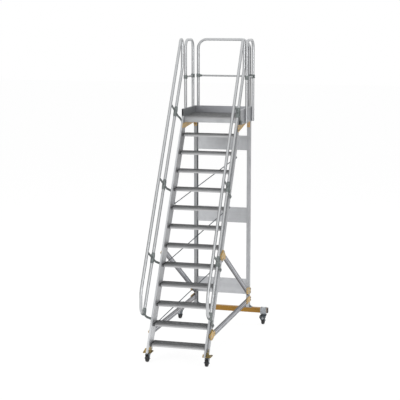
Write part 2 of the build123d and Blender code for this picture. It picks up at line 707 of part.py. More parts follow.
# Yellow strut brackets: pressed cups on the stringers, pressed clamps outside the legs
def strut_bracket_outline(along, start, run, corner):
    """Leaf-shaped outline: the hull of four round corners on the stringer and on the strut."""
    with BuildSketch() as outline:
        with Locations(
            slope_point(along - STRUT_PLATE_LEAN, STRUT_PLATE_LAP - STRINGER_REAR),
            slope_point(along + STRUT_PLATE_HALF - STRUT_PLATE_LEAN / 4, STRUT_PLATE_WAIST - STRINGER_REAR),
            slope_point(along - STRUT_PLATE_HALF - STRUT_PLATE_LEAN / 4, STRUT_PLATE_WAIST - STRINGER_REAR),
            (start[0] + run[0] * STRUT_PLATE_REACH, start[1] + run[1] * STRUT_PLATE_REACH),
        ):
            Circle(corner)
        make_hull()
    return outline.sketch


clamp_depth = LEG_CLAMP_REACH + LEG_DEPTH
with BuildPart() as strut_brackets:
    for label, along, leg_z in STRUTS:
        start, run = strut_frame(along, leg_z)
        with BuildPart() as cup:
            with BuildSketch(side_plane(STRINGER_OUTER)):
                add(strut_bracket_outline(along, start, run, STRUT_PLATE_CORNER))
            extrude(amount=LEG_OUTER + BRACKET_PLATE - STRINGER_OUTER)
            with BuildSketch(side_plane(STRINGER_OUTER)):
                add(strut_bracket_outline(along, start, run, STRUT_PLATE_CORNER - STRUT_PLATE_RIM))
            extrude(amount=LEG_OUTER - STRINGER_OUTER, mode=Mode.SUBTRACT)
            with BuildSketch(side_plane(STRINGER_OUTER)):
                Polygon(*strut_outline(along, leg_z, STRUT_DEPTH + 2 * SEAT_GAP), align=None)
            extrude(amount=LEG_OUTER - STRINGER_OUTER, mode=Mode.SUBTRACT)
        add(cup.part)
    for bottom, height in LEG_CLAMPS:
        clamp_middle = (LEG_REAR - clamp_depth / 2, bottom + height / 2)
        for inset, mode in ((0, Mode.ADD), (BRACKET_PLATE, Mode.SUBTRACT)):
            with BuildSketch(side_plane(LEG_OUTER)):
                with Locations(clamp_middle):
                    RectangleRounded(clamp_depth - 2 * inset, height - 2 * inset, LEG_CLAMP_CORNER - inset)
            extrude(amount=LEG_CLAMP_BULGE - inset, taper=LEG_CLAMP_DRAFT, mode=mode)
    mirror(about=Plane.YZ)
finish(strut_brackets.part, "strut_brackets")

# Tie rods across the back of the stair, each between two lugs behind the stringers
tread_back = slope_offset(TREAD_DEPTH, -PLANK_REAR_LIP - RIB_HEIGHT)
rod_offset = tread_back - TIE_ROD_CLEARANCE - TIE_ROD_RADIUS
rod_half = (STRINGER_INNER + STRINGER_OUTER) / 2
with BuildPart() as tie_rods:
    for left_along, right_along in TIE_RODS:
        ends = []
        for side, along in ((-1, left_along), (1, right_along)):
            y, z = slope_point(along, rod_offset)
            ends.append(Vector(side * rod_half, FOOT_Y + y, z))
            with BuildSketch(stair_plane(side * rod_half - TIE_LUG / 2)):
                with Locations((along, -STRINGER_REAR)):
                    Rectangle(
                        TIE_LUG_WIDTH,
                        -STRINGER_REAR - rod_offset + TIE_LUG_END,
                        align=(Align.CENTER, Align.MAX),
                    )
            extrude(amount=TIE_LUG)
        with BuildSketch(Plane(origin=ends[0], z_dir=ends[1] - ends[0])):
            Circle(TIE_ROD_RADIUS)
        extrude(amount=(ends[1] - ends[0]).length)
finish(tie_rods.part, "tie_rods")

# Yellow gussets under the platform, from stringer and leg to the side beams
gusset_bottom = SIDE_BEAM_BOTTOM - STRINGER_GUSSET_HEIGHT
gusset_front = DECK_FRONT - STRINGER_GUSSET_LAP
leg_face = LEG_FRONT - BRACKET_PLATE
with BuildPart() as platform_gussets:
    with BuildSketch(side_plane(STRINGER_OUTER)):
        with BuildLine():
            Polyline(
                (gusset_front, SIDE_BEAM_BOTTOM),
                (DECK_FRONT + STRINGER_GUSSET_REACH, SIDE_BEAM_BOTTOM),
                (DECK_FRONT + STRINGER_GUSSET_REACH, SIDE_BEAM_BOTTOM - GUSSET_TIP_HEIGHT),
                (DECK_FRONT, gusset_bottom),
                (gusset_front, gusset_bottom),
                close=True,
            )
        make_face()
    extrude(amount=BRACKET_PLATE)
    with BuildSketch(Plane.XY.offset(SIDE_BEAM_BOTTOM - BRACKET_PLATE)):
        with Locations((STRINGER_OUTER, FOOT_Y + DECK_FRONT)):
            Rectangle(PLATFORM_HALF - STRINGER_OUTER, STRINGER_GUSSET_REACH, align=(Align.MIN, Align.MIN))
    extrude(amount=BRACKET_PLATE)
    with BuildSketch(Plane.XY.offset(SIDE_BEAM_BOTTOM - LEG_GUSSET_HEIGHT)):
        with Locations((LEG_INNER, FOOT_Y + leg_face)):
            Rectangle(LEG_WIDTH, BRACKET_PLATE, align=(Align.MIN, Align.MIN))
    extrude(amount=LEG_GUSSET_HEIGHT)
    with BuildSketch(side_plane(STRINGER_OUTER)):
        with BuildLine():
            Polyline(
                (leg_face, SIDE_BEAM_BOTTOM),
                (leg_face - LEG_GUSSET_REACH, SIDE_BEAM_BOTTOM),
                (leg_face - LEG_GUSSET_REACH, SIDE_BEAM_BOTTOM - GUSSET_TIP_HEIGHT),
                (leg_face, SIDE_BEAM_BOTTOM - LEG_GUSSET_HEIGHT),
                close=True,
            )
        make_face()
    extrude(amount=BRACKET_PLATE)
    mirror(about=Plane.YZ)
finish(platform_gussets.part, "platform_gussets")

# Rear cross beam with its end caps, and the feet that carry the legs
beam_front = LEG_Y - BEAM_DEPTH / 2
beam_length = 2 * (BEAM_HALF - BEAM_CAP)
finish(
    cross_beam(beam_front, BEAM_DEPTH, BEAM_BOTTOM, BEAM_TOP, beam_length, BEAM_SKIN),
    "rear_cross_beam",
)
with BuildPart() as beam_end_caps:
    with BuildSketch(side_plane(BEAM_HALF - BEAM_CAP)):
        with Locations((LEG_Y, BEAM_BOTTOM + BEAM_HEIGHT / 2)):
            RectangleRounded(BEAM_DEPTH, BEAM_HEIGHT, BEAM_SKIN)
    extrude(amount=BEAM_CAP)
    mirror(about=Plane.YZ)
finish(beam_end_caps.part, "beam_end_caps")
leg_middle = (LEG_INNER + LEG_OUTER) / 2
with BuildPart() as leg_feet:
    with BuildSketch(Plane.XY.offset(BEAM_TOP)):
        with Locations((leg_middle, FOOT_Y + LEG_Y)):
            Rectangle(FOOT_PLATE_LENGTH, LEG_DEPTH)
    extrude(amount=FOOT_PLATE)
    with BuildSketch(Plane.XZ.offset(-(FOOT_Y + LEG_Y - FOOT_PLATE / 2))):
        for side in (-1, 1):
            edge = leg_middle + side * LEG_WIDTH / 2
            with BuildLine():
                Polyline(
                    (edge, BEAM_TOP + FOOT_PLATE),
                    (edge, BEAM_TOP + FOOT_PLATE + FOOT_RIB_HEIGHT),
                    (leg_middle + side * FOOT_PLATE_LENGTH / 2, BEAM_TOP + FOOT_PLATE),
                    close=True,
                )
            make_face()
    extrude(amount=-FOOT_PLATE)
    mirror(about=Plane.YZ)
finish(leg_feet.part, "leg_feet")

# Front castor brackets: a plate under each stringer with two tapered cheeks
plate_top = FRONT_PLATE_Z + CASTOR_PLATE
cheek_top = RISE - TREAD_NOSE - FRONT_CHEEK_CLEARANCE
plate_front = FRONT_CASTOR_Y - FRONT_PLATE_LENGTH / 2
plate_rear = FRONT_CASTOR_Y + FRONT_PLATE_LENGTH / 2
with BuildPart() as front_castor_brackets:
    with BuildSketch(Plane.XY.offset(FRONT_PLATE_Z)):
        with Locations((FRONT_CASTOR_X, FOOT_Y + FRONT_CASTOR_Y)):
            Rectangle(FRONT_PLATE_WIDTH, FRONT_PLATE_LENGTH)
    extrude(amount=CASTOR_PLATE)
    fillet(front_castor_brackets.edges().filter_by(Axis.Z), radius=FRONT_PLATE_CORNER)
    with BuildSketch(side_plane(STRINGER_INNER - BRACKET_PLATE)):
        with BuildLine():
            Polyline(
                (plate_front, plate_top),
                (plate_rear, plate_top),
                (FRONT_CASTOR_Y + FRONT_CHEEK_TOP_HALF, cheek_top),
                (FRONT_CASTOR_Y - FRONT_CHEEK_TOP_HALF, cheek_top),
                close=True,
            )
        make_face()
    extrude(amount=BRACKET_PLATE)
    with BuildSketch(side_plane(STRINGER_OUTER)):
        with BuildLine():
            Polyline(
                (plate_front, plate_top),
                (plate_rear, plate_top),
                (plate_rear, OUTER_CHEEK_TOP - OUTER_CHEEK_SHOULDER),
                (plate_rear - OUTER_CHEEK_SHOULDER, OUTER_CHEEK_TOP),
                (plate_rear - OUTER_CHEEK_TOP_WIDTH, OUTER_CHEEK_TOP),
                close=True,
            )
        make_face()
    extrude(amount=BRACKET_PLATE)
    for root, side, height in (
        (STRINGER_OUTER, 1, OUTER_GUSSET_HEIGHT),
        (STRINGER_INNER, -1, INNER_GUSSET_HEIGHT),
    ):
        with BuildSketch(Plane.XZ.offset(-(FOOT_Y + plate_front + GUSSET_INSET))):
            with BuildLine():
                Polyline(
                    (root, plate_top),
                    (FRONT_CASTOR_X + side * FRONT_PLATE_WIDTH / 2, plate_top),
                    (root + side * GUSSET_TOP_WIDTH, plate_top + height),
                    (root, plate_top + height),
                    close=True,
                )
            make_face()
        extrude(amount=-BRACKET_PLATE)
    with BuildSketch(Plane.XY.offset(FRONT_PLATE_Z - RACE_HEIGHT)):
        with Locations((FRONT_CASTOR_X, FOOT_Y + FRONT_CASTOR_Y)):
            Circle(BEARING_RADIUS)
    extrude(amount=RACE_HEIGHT)
    mirror(about=Plane.YZ)
finish(front_castor_brackets.part, "front_castor_brackets")

# Rear castor mounts: a band round the cross beam and a plate under it
with BuildPart() as rear_castor_mounts:
    with BuildSketch(side_plane(REAR_CASTOR_X - CLAMP_BAND_WIDTH / 2)):
        with Locations((LEG_Y, BEAM_BOTTOM + BEAM_HEIGHT / 2)):
            Rectangle(BEAM_DEPTH + 2 * CLAMP_BAND, BEAM_HEIGHT + 2 * CLAMP_BAND)
            Rectangle(BEAM_DEPTH, BEAM_HEIGHT, mode=Mode.SUBTRACT)
    extrude(amount=CLAMP_BAND_WIDTH)
    with BuildSketch(Plane.XY.offset(REAR_PLATE_Z)):
        with Locations((REAR_CASTOR_X, FOOT_Y + LEG_Y)):
            RectangleRounded(CLAMP_BAND_WIDTH, BEAM_DEPTH + 4 * CLAMP_BAND, 2 * CLAMP_BAND)
    extrude(amount=BEAM_BOTTOM - CLAMP_BAND - REAR_PLATE_Z)
    with BuildSketch(Plane.XY.offset(REAR_PLATE_Z - RACE_HEIGHT)):
        with Locations((REAR_CASTOR_X, FOOT_Y + LEG_Y)):
            Circle(BEARING_RADIUS)
    extrude(amount=RACE_HEIGHT)
    mirror(about=Plane.YZ)
finish(rear_castor_mounts.part, "rear_castor_mounts")


def castor_fork(x, y, wheel_radius, trail, plate_z, braked):
    """Swivel fork under a race at plate_z, trailing to the front, with its axle and brake pedal."""
    axle_y = y - trail
    inner = WHEEL_WIDTH / 2 + FORK_CLEARANCE
    crown_bottom = 2 * wheel_radius + FORK_CROWN_CLEARANCE
    head_top = plate_z - RACE_HEIGHT - SEAT_GAP
    with BuildPart() as piece:
        for side_x in (x - inner - FORK_PLATE, x + inner):
            with BuildSketch(side_plane(side_x)):
                with BuildLine():
                    Polyline(
                        (y + BEARING_RADIUS, crown_bottom),
                        (y + BEARING_RADIUS, crown_bottom + FORK_CROWN),
                        (axle_y - FORK_EYE, crown_bottom + FORK_CROWN),
                        (axle_y - FORK_EYE, wheel_radius),
                        (axle_y + FORK_EYE, wheel_radius - FORK_EYE / 2),
                        close=True,
                    )
                make_face()
                with Locations((axle_y, wheel_radius)):
                    Circle(FORK_EYE)
            extrude(amount=FORK_PLATE)
        with BuildSketch(Plane.XY.offset(crown_bottom)):
            with Locations((x, FOOT_Y + axle_y - FORK_EYE)):
                Rectangle(
                    2 * inner + 2 * FORK_PLATE,
                    trail + FORK_EYE + BEARING_RADIUS,
                    align=(Align.CENTER, Align.MIN),
                )
        extrude(amount=FORK_CROWN)
        with BuildSketch(Plane.XY.offset(crown_bottom)):
            with Locations((x, FOOT_Y + y)):
                Circle(BEARING_RADIUS)
        extrude(amount=head_top - crown_bottom)
        with BuildSketch(side_plane(x - inner - FORK_PLATE - AXLE_HEAD)):
            with Locations((axle_y, wheel_radius)):
                Circle(AXLE_HEAD_RADIUS)
        extrude(amount=AXLE_HEAD)
        with BuildSketch(side_plane(x + inner + FORK_PLATE)):
            with Locations((axle_y, wheel_radius)):
                Circle(AXLE_HEAD_RADIUS)
        extrude(amount=AXLE_HEAD)
        with BuildSketch(side_plane(x - inner - FORK_PLATE)):
            with Locations((axle_y, wheel_radius)):
                Circle(AXLE_RADIUS)
        extrude(amount=2 * inner + 2 * FORK_PLATE)
        if braked:
            with BuildSketch(Plane.XY.offset(crown_bottom)):
                with Locations((x, FOOT_Y + y)):
                    Circle(SWIVEL_DISC_RADIUS)
            extrude(amount=SWIVEL_DISC)
            add(brake_pedal(x, axle_y, wheel_radius))
    return piece.part


def brake_pedal(x, axle_y, wheel_radius):
    """Stamped pedal: a quarter of a shell round the wheel's front, narrower towards its lower edge."""
    outer = PEDAL_RADIUS + PEDAL_SHEET
    with BuildPart() as pedal:
        with BuildSketch(side_plane(x - PEDAL_TOP_WIDTH / 2)):
            with Locations((axle_y, wheel_radius)):
                Circle(outer)
                Circle(PEDAL_RADIUS, mode=Mode.SUBTRACT)
                Rectangle(outer, outer, align=(Align.MAX, Align.MIN), mode=Mode.INTERSECT)
        extrude(amount=PEDAL_TOP_WIDTH)
        with BuildSketch(Plane.XZ.offset(-(FOOT_Y + axle_y))):
            with BuildLine():
                Polyline(
                    (x - PEDAL_BOTTOM_WIDTH / 2, PEDAL_BOTTOM),
                    (x + PEDAL_BOTTOM_WIDTH / 2, PEDAL_BOTTOM),
                    (x + PEDAL_TOP_WIDTH / 2, PEDAL_SHOULDER),
                    (x + PEDAL_TOP_WIDTH / 2, wheel_radius + outer),
                    (x - PEDAL_TOP_WIDTH / 2, wheel_radius + outer),
                    (x - PEDAL_TOP_WIDTH / 2, PEDAL_SHOULDER),
                    close=True,
                )
            make_face()
        extrude(amount=outer, mode=Mode.INTERSECT)
    return pedal.part


def castor_tyre(x, axle_y, wheel_radius):
    """Solid rubber tyre with a crowned tread."""
    rim = wheel_radius - TYRE_DEPTH
    half = WHEEL_WIDTH / 2
    shoulder = wheel_radius - TYRE_CROWN
    with BuildPart() as piece:
        with BuildSketch(Plane(origin=(x, FOOT_Y + axle_y, wheel_radius), x_dir=(1, 0, 0), z_dir=(0, -1, 0))):
            with BuildLine():
                Line((-half, rim), (half, rim))
                Line((half, rim), (half, shoulder))
                ThreePointArc((half, shoulder), (0, wheel_radius), (-half, shoulder))
                Line((-half, shoulder), (-half, rim))
            make_face()
        revolve(axis=Axis((x, FOOT_Y + axle_y, wheel_radius), (1, 0, 0)))
    return piece.part


def castor_hub(x, axle_y, wheel_radius):
    """Wheel centre: a rim, a thin web and a hub with the axle's bore."""
    rim = wheel_radius - TYRE_DEPTH - SEAT_GAP
    half = WHEEL_WIDTH / 2
    with BuildPart() as piece:
        with BuildSketch(side_plane(x - half)):
            with Locations((axle_y, wheel_radius)):
                Circle(rim)
                Circle(rim - BRACKET_PLATE, mode=Mode.SUBTRACT)
                Circle(HUB_RADIUS)
        extrude(amount=WHEEL_WIDTH)
        with BuildSketch(side_plane(x - HUB_WEB / 2)):
            with Locations((axle_y, wheel_radius)):
                Circle(rim)
        extrude(amount=HUB_WEB)
        with BuildSketch(side_plane(x - half)):
            with Locations((axle_y, wheel_radius)):
                Circle(AXLE_RADIUS + SEAT_GAP)
        extrude(amount=WHEEL_WIDTH, mode=Mode.SUBTRACT)
    return piece.part


# Castors: name, swivel x, swivel y, wheel radius, trail, plate height, braked
CASTORS = (
    ("front_right", FRONT_CASTOR_X, FRONT_CASTOR_Y, FRONT_WHEEL_RADIUS, FRONT_TRAIL, FRONT_PLATE_Z, False),
    ("front_left", -FRONT_CASTOR_X, FRONT_CASTOR_Y, FRONT_WHEEL_RADIUS, FRONT_TRAIL, FRONT_PLATE_Z, False),
    ("rear_right", REAR_CASTOR_X, LEG_Y, REAR_WHEEL_RADIUS, REAR_TRAIL, REAR_PLATE_Z, True),
    ("rear_left", -REAR_CASTOR_X, LEG_Y, REAR_WHEEL_RADIUS, REAR_TRAIL, REAR_PLATE_Z, True),
)
for label, x, y, wheel_radius, trail, plate_z, braked in CASTORS:
    finish(castor_fork(x, y, wheel_radius, trail, plate_z, braked), f"{label}_fork")
    finish(castor_tyre(x, y - trail, wheel_radius), f"{label}_tyre")
    finish(castor_hub(x, y - trail, wheel_radius), f"{label}_hub")
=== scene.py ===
"""Mobile platform stairs: finishes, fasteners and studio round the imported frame. Metres, +Z up."""

import math

import bpy
import numpy as np
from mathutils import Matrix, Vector


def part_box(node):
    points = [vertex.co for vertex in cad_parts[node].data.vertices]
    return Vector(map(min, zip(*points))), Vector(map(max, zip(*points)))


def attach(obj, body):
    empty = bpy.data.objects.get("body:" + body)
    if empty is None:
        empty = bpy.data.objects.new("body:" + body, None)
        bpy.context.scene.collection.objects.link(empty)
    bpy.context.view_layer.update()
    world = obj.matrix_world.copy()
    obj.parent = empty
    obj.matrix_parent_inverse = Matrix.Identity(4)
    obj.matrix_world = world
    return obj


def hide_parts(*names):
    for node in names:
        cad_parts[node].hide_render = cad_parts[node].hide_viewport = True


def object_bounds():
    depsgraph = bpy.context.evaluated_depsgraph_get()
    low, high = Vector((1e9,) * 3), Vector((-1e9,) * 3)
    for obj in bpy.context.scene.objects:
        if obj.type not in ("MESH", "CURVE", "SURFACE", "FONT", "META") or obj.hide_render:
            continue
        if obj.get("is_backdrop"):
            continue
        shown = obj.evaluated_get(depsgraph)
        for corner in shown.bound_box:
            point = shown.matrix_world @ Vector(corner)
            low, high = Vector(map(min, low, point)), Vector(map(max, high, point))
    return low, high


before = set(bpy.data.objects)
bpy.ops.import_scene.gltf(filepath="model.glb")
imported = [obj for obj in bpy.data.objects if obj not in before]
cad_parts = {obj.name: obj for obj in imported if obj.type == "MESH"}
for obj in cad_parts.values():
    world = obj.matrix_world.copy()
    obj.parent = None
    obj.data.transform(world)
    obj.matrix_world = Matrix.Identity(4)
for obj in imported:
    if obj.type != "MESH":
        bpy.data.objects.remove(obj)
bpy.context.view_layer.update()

# The stair line, read from the lowest and highest tread, and the main sizes, read from the nodes
nose_low, nose_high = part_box("tread_01"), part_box("tread_12")
STEPS = 12
RISE = (nose_high[1].z - nose_low[1].z) / (STEPS - 1)
GOING = (nose_high[0].y - nose_low[0].y) / (STEPS - 1)
PITCH = math.atan2(RISE, GOING)
FOOT_Y = nose_low[0].y - GOING
STRINGER_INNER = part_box("stringer_right")[0].x
STRINGER_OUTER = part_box("stringer_right")[1].x
STRINGER_REAR = 0.138
DECK_LOW, DECK_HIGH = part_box("platform_deck")
DECK_Z, DECK_FRONT, DECK_REAR = DECK_HIGH.z, DECK_LOW.y, DECK_HIGH.y
BEAM_LOW, BEAM_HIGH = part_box("platform_side_beams")
LEG_LOW, LEG_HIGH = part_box("leg_right")
LEG_Y = (LEG_LOW.y + LEG_HIGH.y) / 2
LEG_X = (LEG_LOW.x + LEG_HIGH.x) / 2
RAIL_LOW, RAIL_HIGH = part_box("guard_rail_right")
RAIL_X = (RAIL_LOW.x + RAIL_HIGH.x) / 2
TUBE = (RAIL_HIGH.x - RAIL_LOW.x) / 2
REAR_RAIL_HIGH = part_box("guard_rail_rear")[1]
GUARD_REAR_X = REAR_RAIL_HIGH.x - TUBE
GUARD_REAR_Y = REAR_RAIL_HIGH.y - TUBE
SIDE_POSTS = (RAIL_LOW.y + TUBE, RAIL_HIGH.y - TUBE)
GUARD_POSTS = ((RAIL_X, SIDE_POSTS[0]), (RAIL_X, SIDE_POSTS[1]), (GUARD_REAR_X, GUARD_REAR_Y))
CLAMP_RADIUS = 0.027
PLATE = 0.005
UPPER_CUP_ALONG, LOWER_CUP_ALONG = 1.605, 0.495
CASTORS = ("front_right", "front_left", "rear_right", "rear_left")


def slope(x, along, offset):
    """Point at x, a distance up the stair line and an offset square to it."""
    y = FOOT_Y + along * math.cos(PITCH) - offset * math.sin(PITCH)
    return (x, y, along * math.sin(PITCH) + offset * math.cos(PITCH))


# Node trees

def node(tree, kind, inputs=None, **settings):
    """New node, with its settings set and its inputs linked or given a value."""
    made = tree.nodes.new(kind)
    for key, value in settings.items():
        setattr(made, key, value)
    fill(tree, made, inputs or {})
    return made


def fill(tree, made, inputs):
    """Link each named input of a node to a socket, or give it a value."""
    for key, value in inputs.items():
        if isinstance(value, bpy.types.NodeSocket):
            tree.links.new(value, made.inputs[key])
        else:
            made.inputs[key].default_value = value


def maths(tree, operation, first, second=0.0, clamp=False):
    """Result of a maths node. first and second: sockets or numbers."""
    inputs = {0: first, 1: second}
    return node(tree, "ShaderNodeMath", inputs, operation=operation, use_clamp=clamp).outputs[0]


def times(tree, first, second, clamp=False):
    """Product of two sockets or numbers."""
    return maths(tree, "MULTIPLY", first, second, clamp)


def plus(tree, first, second, clamp=False):
    """Sum of two sockets or numbers."""
    return maths(tree, "ADD", first, second, clamp)


def minus(tree, first, second):
    """Difference of two sockets or numbers."""
    return maths(tree, "SUBTRACT", first, second)


def vectors(tree, operation, first, second):
    """Outputs of a vector maths node."""
    return node(tree, "ShaderNodeVectorMath", {0: first, 1: second}, operation=operation).outputs


def with_alpha(value):
    """A socket as it is, and a triple as an opaque colour."""
    return value if isinstance(value, bpy.types.NodeSocket) else (*value, 1.0)


def blend(tree, factor, first, second):
    """Colour between two, each a socket or a triple."""
    inputs = {0: factor, 6: with_alpha(first), 7: with_alpha(second)}
    return node(tree, "ShaderNodeMix", inputs, data_type="RGBA").outputs[2]


def between(tree, value, low, high, to_low=0.0, to_high=1.0):
    """Value mapped from low..high to to_low..to_high, held at both ends."""
    return node(tree, "ShaderNodeMapRange", {0: value, 1: low, 2: high, 3: to_low, 4: to_high}).outputs[0]


def noise(tree, vector, scale, detail=2.0, roughness=0.5):
    """Soft noise, scale cells a metre."""
    inputs = {"Vector": vector, "Scale": scale, "Detail": detail, "Roughness": roughness}
    return node(tree, "ShaderNodeTexNoise", inputs).outputs[0]


def effect(name, inputs, outputs):
    """Empty shader group with named inputs and outputs. inputs: name, socket type, value."""
    tree = bpy.data.node_groups.new(name, "ShaderNodeTree")
    for label, kind, value in inputs:
        socket = tree.interface.new_socket(label, in_out="INPUT", socket_type=kind)
        if value is not None:
            socket.default_value = value
    for label, kind in outputs:
        tree.interface.new_socket(label, in_out="OUTPUT", socket_type=kind)
    return tree, tree.nodes.new("NodeGroupInput").outputs, tree.nodes.new("NodeGroupOutput").inputs


def use_effect(tree, group, inputs):
    """Outputs of a shader group placed in a tree."""
    placed = node(tree, "ShaderNodeGroup", node_tree=group)
    fill(tree, placed, inputs)
    return placed.outputs


# Shared effects

VECTOR, FLOAT = "NodeSocketVector", "NodeSocketFloat"


def make_drawn_lines():
    """Die lines of extruded or drawn metal: noise stretched along the vector's Y."""
    tree, given, out = effect(
        "drawn lines",
        (("Vector", VECTOR, None), ("Line width", FLOAT, 0.0016), ("Stretch", FLOAT, 160.0)),
        (("Lines", FLOAT), ("Bands", FLOAT)),
    )
    narrow = maths(tree, "DIVIDE", 1.0, given["Line width"])
    long = maths(tree, "DIVIDE", narrow, given["Stretch"])
    scale = node(tree, "ShaderNodeCombineXYZ", {0: narrow, 1: long, 2: narrow}).outputs[0]
    stretched = vectors(tree, "MULTIPLY", given["Vector"], scale)[0]
    tree.links.new(noise(tree, stretched, 1.0, 3.0, 0.6), out["Lines"])
    wide = vectors(tree, "MULTIPLY", stretched, (0.09, 0.4, 0.09))[0]
    tree.links.new(noise(tree, wide, 1.0, 2.0, 0.5), out["Bands"])
    return tree


def make_blotches():
    """Handling marks and dull patches: two sizes of soft noise, the larger one steering the smaller."""
    tree, given, out = effect(
        "blotches",
        (("Vector", VECTOR, None), ("Size", FLOAT, 0.12)),
        (("Patches", FLOAT), ("Grain", FLOAT)),
    )
    scale = maths(tree, "DIVIDE", 1.0, given["Size"])
    large = noise(tree, given["Vector"], scale, 3.0, 0.55)
    small = noise(tree, given["Vector"], times(tree, scale, 9.0), 4.0, 0.6)
    dull = between(tree, large, 0.38, 0.68)
    broken = between(tree, small, 0.3, 0.7, 0.5, 1.0)
    tree.links.new(times(tree, dull, broken), out["Patches"])
    tree.links.new(small, out["Grain"])
    return tree


def make_scratches():
    """Fine scratches in two directions: thin edges of stretched cells, kept where a soft mask allows."""
    tree, given, out = effect(
        "scratches",
        (("Vector", VECTOR, None), ("Spacing", FLOAT, 0.05)),
        (("Scratches", FLOAT),),
    )
    marks = []
    for turn, squeeze in ((0.5, 0.08), (-0.9, 0.12)):
        turned = node(
            tree,
            "ShaderNodeMapping",
            {"Vector": given["Vector"], "Rotation": (turn, 0.7 * turn, turn), "Scale": (1.0, squeeze, 1.0)},
        )
        cells = node(
            tree,
            "ShaderNodeTexVoronoi",
            {"Vector": turned.outputs[0], "Scale": maths(tree, "DIVIDE", 1.0, given["Spacing"])},
            feature="DISTANCE_TO_EDGE",
        )
        marks.append(between(tree, cells.outputs["Distance"], 0.0, 0.012, 1.0, 0.0))
    both = maths(tree, "MAXIMUM", marks[0], marks[1])
    allowed = between(tree, noise(tree, given["Vector"], 11.0, 2.0), 0.5, 0.62)
    tree.links.new(times(tree, both, allowed), out["Scratches"])
    return tree


def make_edge_wear():
    """Rubbed edges: where the softened normal leaves the face's own normal, broken up by the grain."""
    tree, given, out = effect(
        "edge wear",
        (("Radius", FLOAT, 0.002), ("Grain", FLOAT, 0.5)),
        (("Wear", FLOAT), ("Soft normal", VECTOR)),
    )
    soft = node(tree, "ShaderNodeBevel", {"Radius": given["Radius"]}, samples=4).outputs[0]
    face = node(tree, "ShaderNodeNewGeometry").outputs["Normal"]
    bare = between(tree, vectors(tree, "DOT_PRODUCT", soft, face)["Value"], 0.99, 0.85)
    tree.links.new(times(tree, bare, between(tree, given["Grain"], 0.35, 0.6)), out["Wear"])
    tree.links.new(soft, out["Soft normal"])
    return tree


DRAWN_LINES = make_drawn_lines()
BLOTCHES = make_blotches()
SCRATCHES = make_scratches()
EDGE_WEAR = make_edge_wear()

# Finishes

RUBBED_METAL, RUBBED_CASTING = (0.74, 0.75, 0.76), (0.60, 0.62, 0.62)
RUBBED_YELLOW, RUBBED_ENAMEL = (0.78, 0.62, 0.36), (0.60, 0.46, 0.24)


def new_material(name):
    """Empty node material with its tree and its Principled shader."""
    made = bpy.data.materials.new(name)
    made.use_nodes = True
    tree = made.node_tree
    return made, tree, tree.nodes["Principled BSDF"]


def object_vector(tree, turn=(0.0, 0.0, 0.0)):
    """Object coordinates, turned so that a pattern's long way lies along Y."""
    place = node(tree, "ShaderNodeTexCoord").outputs["Object"]
    return node(tree, "ShaderNodeMapping", {"Vector": place, "Rotation": turn}).outputs[0]


def coordinates(tree):
    """Object coordinates as three numbers."""
    place = node(tree, "ShaderNodeTexCoord").outputs["Object"]
    return node(tree, "ShaderNodeSeparateXYZ", {0: place}).outputs


def dress(tree, shader, colour, roughness, height, strength, distance, normal):
    """Give a shader its colour, roughness and relief."""
    relief = {"Height": height, "Strength": strength, "Distance": distance, "Normal": normal}
    bump = node(tree, "ShaderNodeBump", relief)
    fill(tree, shader, {"Base Color": colour, "Roughness": roughness, "Normal": bump.outputs[0]})


def drawn_metal(
    name, light, dark, turn, roughness=0.38, metallic=0.65, line_width=0.0016, relief=0.12, tones=None
):
    """Extruded, rolled or drawn metal: die lines along its length, dull patches, scratches, soft edges.
    tones, where given, changes the colour by place."""
    made, tree, shader = new_material(name)
    vector = object_vector(tree, turn)
    lines = use_effect(tree, DRAWN_LINES, {"Vector": vector, "Line width": line_width})
    marks = use_effect(tree, BLOTCHES, {"Vector": vector, "Size": 0.16})
    nicks = use_effect(tree, SCRATCHES, {"Vector": vector, "Spacing": 0.06})
    edges = use_effect(tree, EDGE_WEAR, {"Radius": 0.0012, "Grain": marks["Grain"]})
    tone = times(tree, lines["Bands"], 0.7)
    tone = plus(tree, tone, times(tree, marks["Patches"], 0.35), clamp=True)
    colour = blend(tree, tone, light, dark)
    if tones:
        colour = tones(tree, colour)
    bright = plus(tree, edges["Wear"], nicks["Scratches"], clamp=True)
    colour = blend(tree, times(tree, bright, 0.3), colour, RUBBED_METAL)
    rough = plus(tree, roughness, times(tree, marks["Patches"], 0.12))
    rough = plus(tree, rough, times(tree, lines["Lines"], 0.10))
    height = plus(tree, lines["Lines"], times(tree, nicks["Scratches"], -0.8))
    dress(tree, shader, colour, rough, height, relief, 0.0006, edges["Soft normal"])
    shader.inputs["Metallic"].default_value = metallic
    return made


def cast_metal(name, light, dark, roughness=0.55, metallic=0.5, tones=None):
    """Sand casting: grainy skin, darker in patches, rubbed bright along its edges."""
    made, tree, shader = new_material(name)
    vector = object_vector(tree)
    marks = use_effect(tree, BLOTCHES, {"Vector": vector, "Size": 0.045})
    edges = use_effect(tree, EDGE_WEAR, {"Radius": 0.0025, "Grain": marks["Grain"]})
    colour = blend(tree, marks["Patches"], light, dark)
    if tones:
        colour = tones(tree, colour)
    colour = blend(tree, times(tree, edges["Wear"], 0.5), colour, RUBBED_CASTING)
    rough = between(tree, marks["Grain"], 0.3, 0.7, roughness - 0.08, roughness + 0.1)
    skin = noise(tree, vector, 900.0, 3.0, 0.6)
    dress(tree, shader, colour, rough, skin, 0.3, 0.0008, edges["Soft normal"])
    shader.inputs["Metallic"].default_value = metallic
    return made


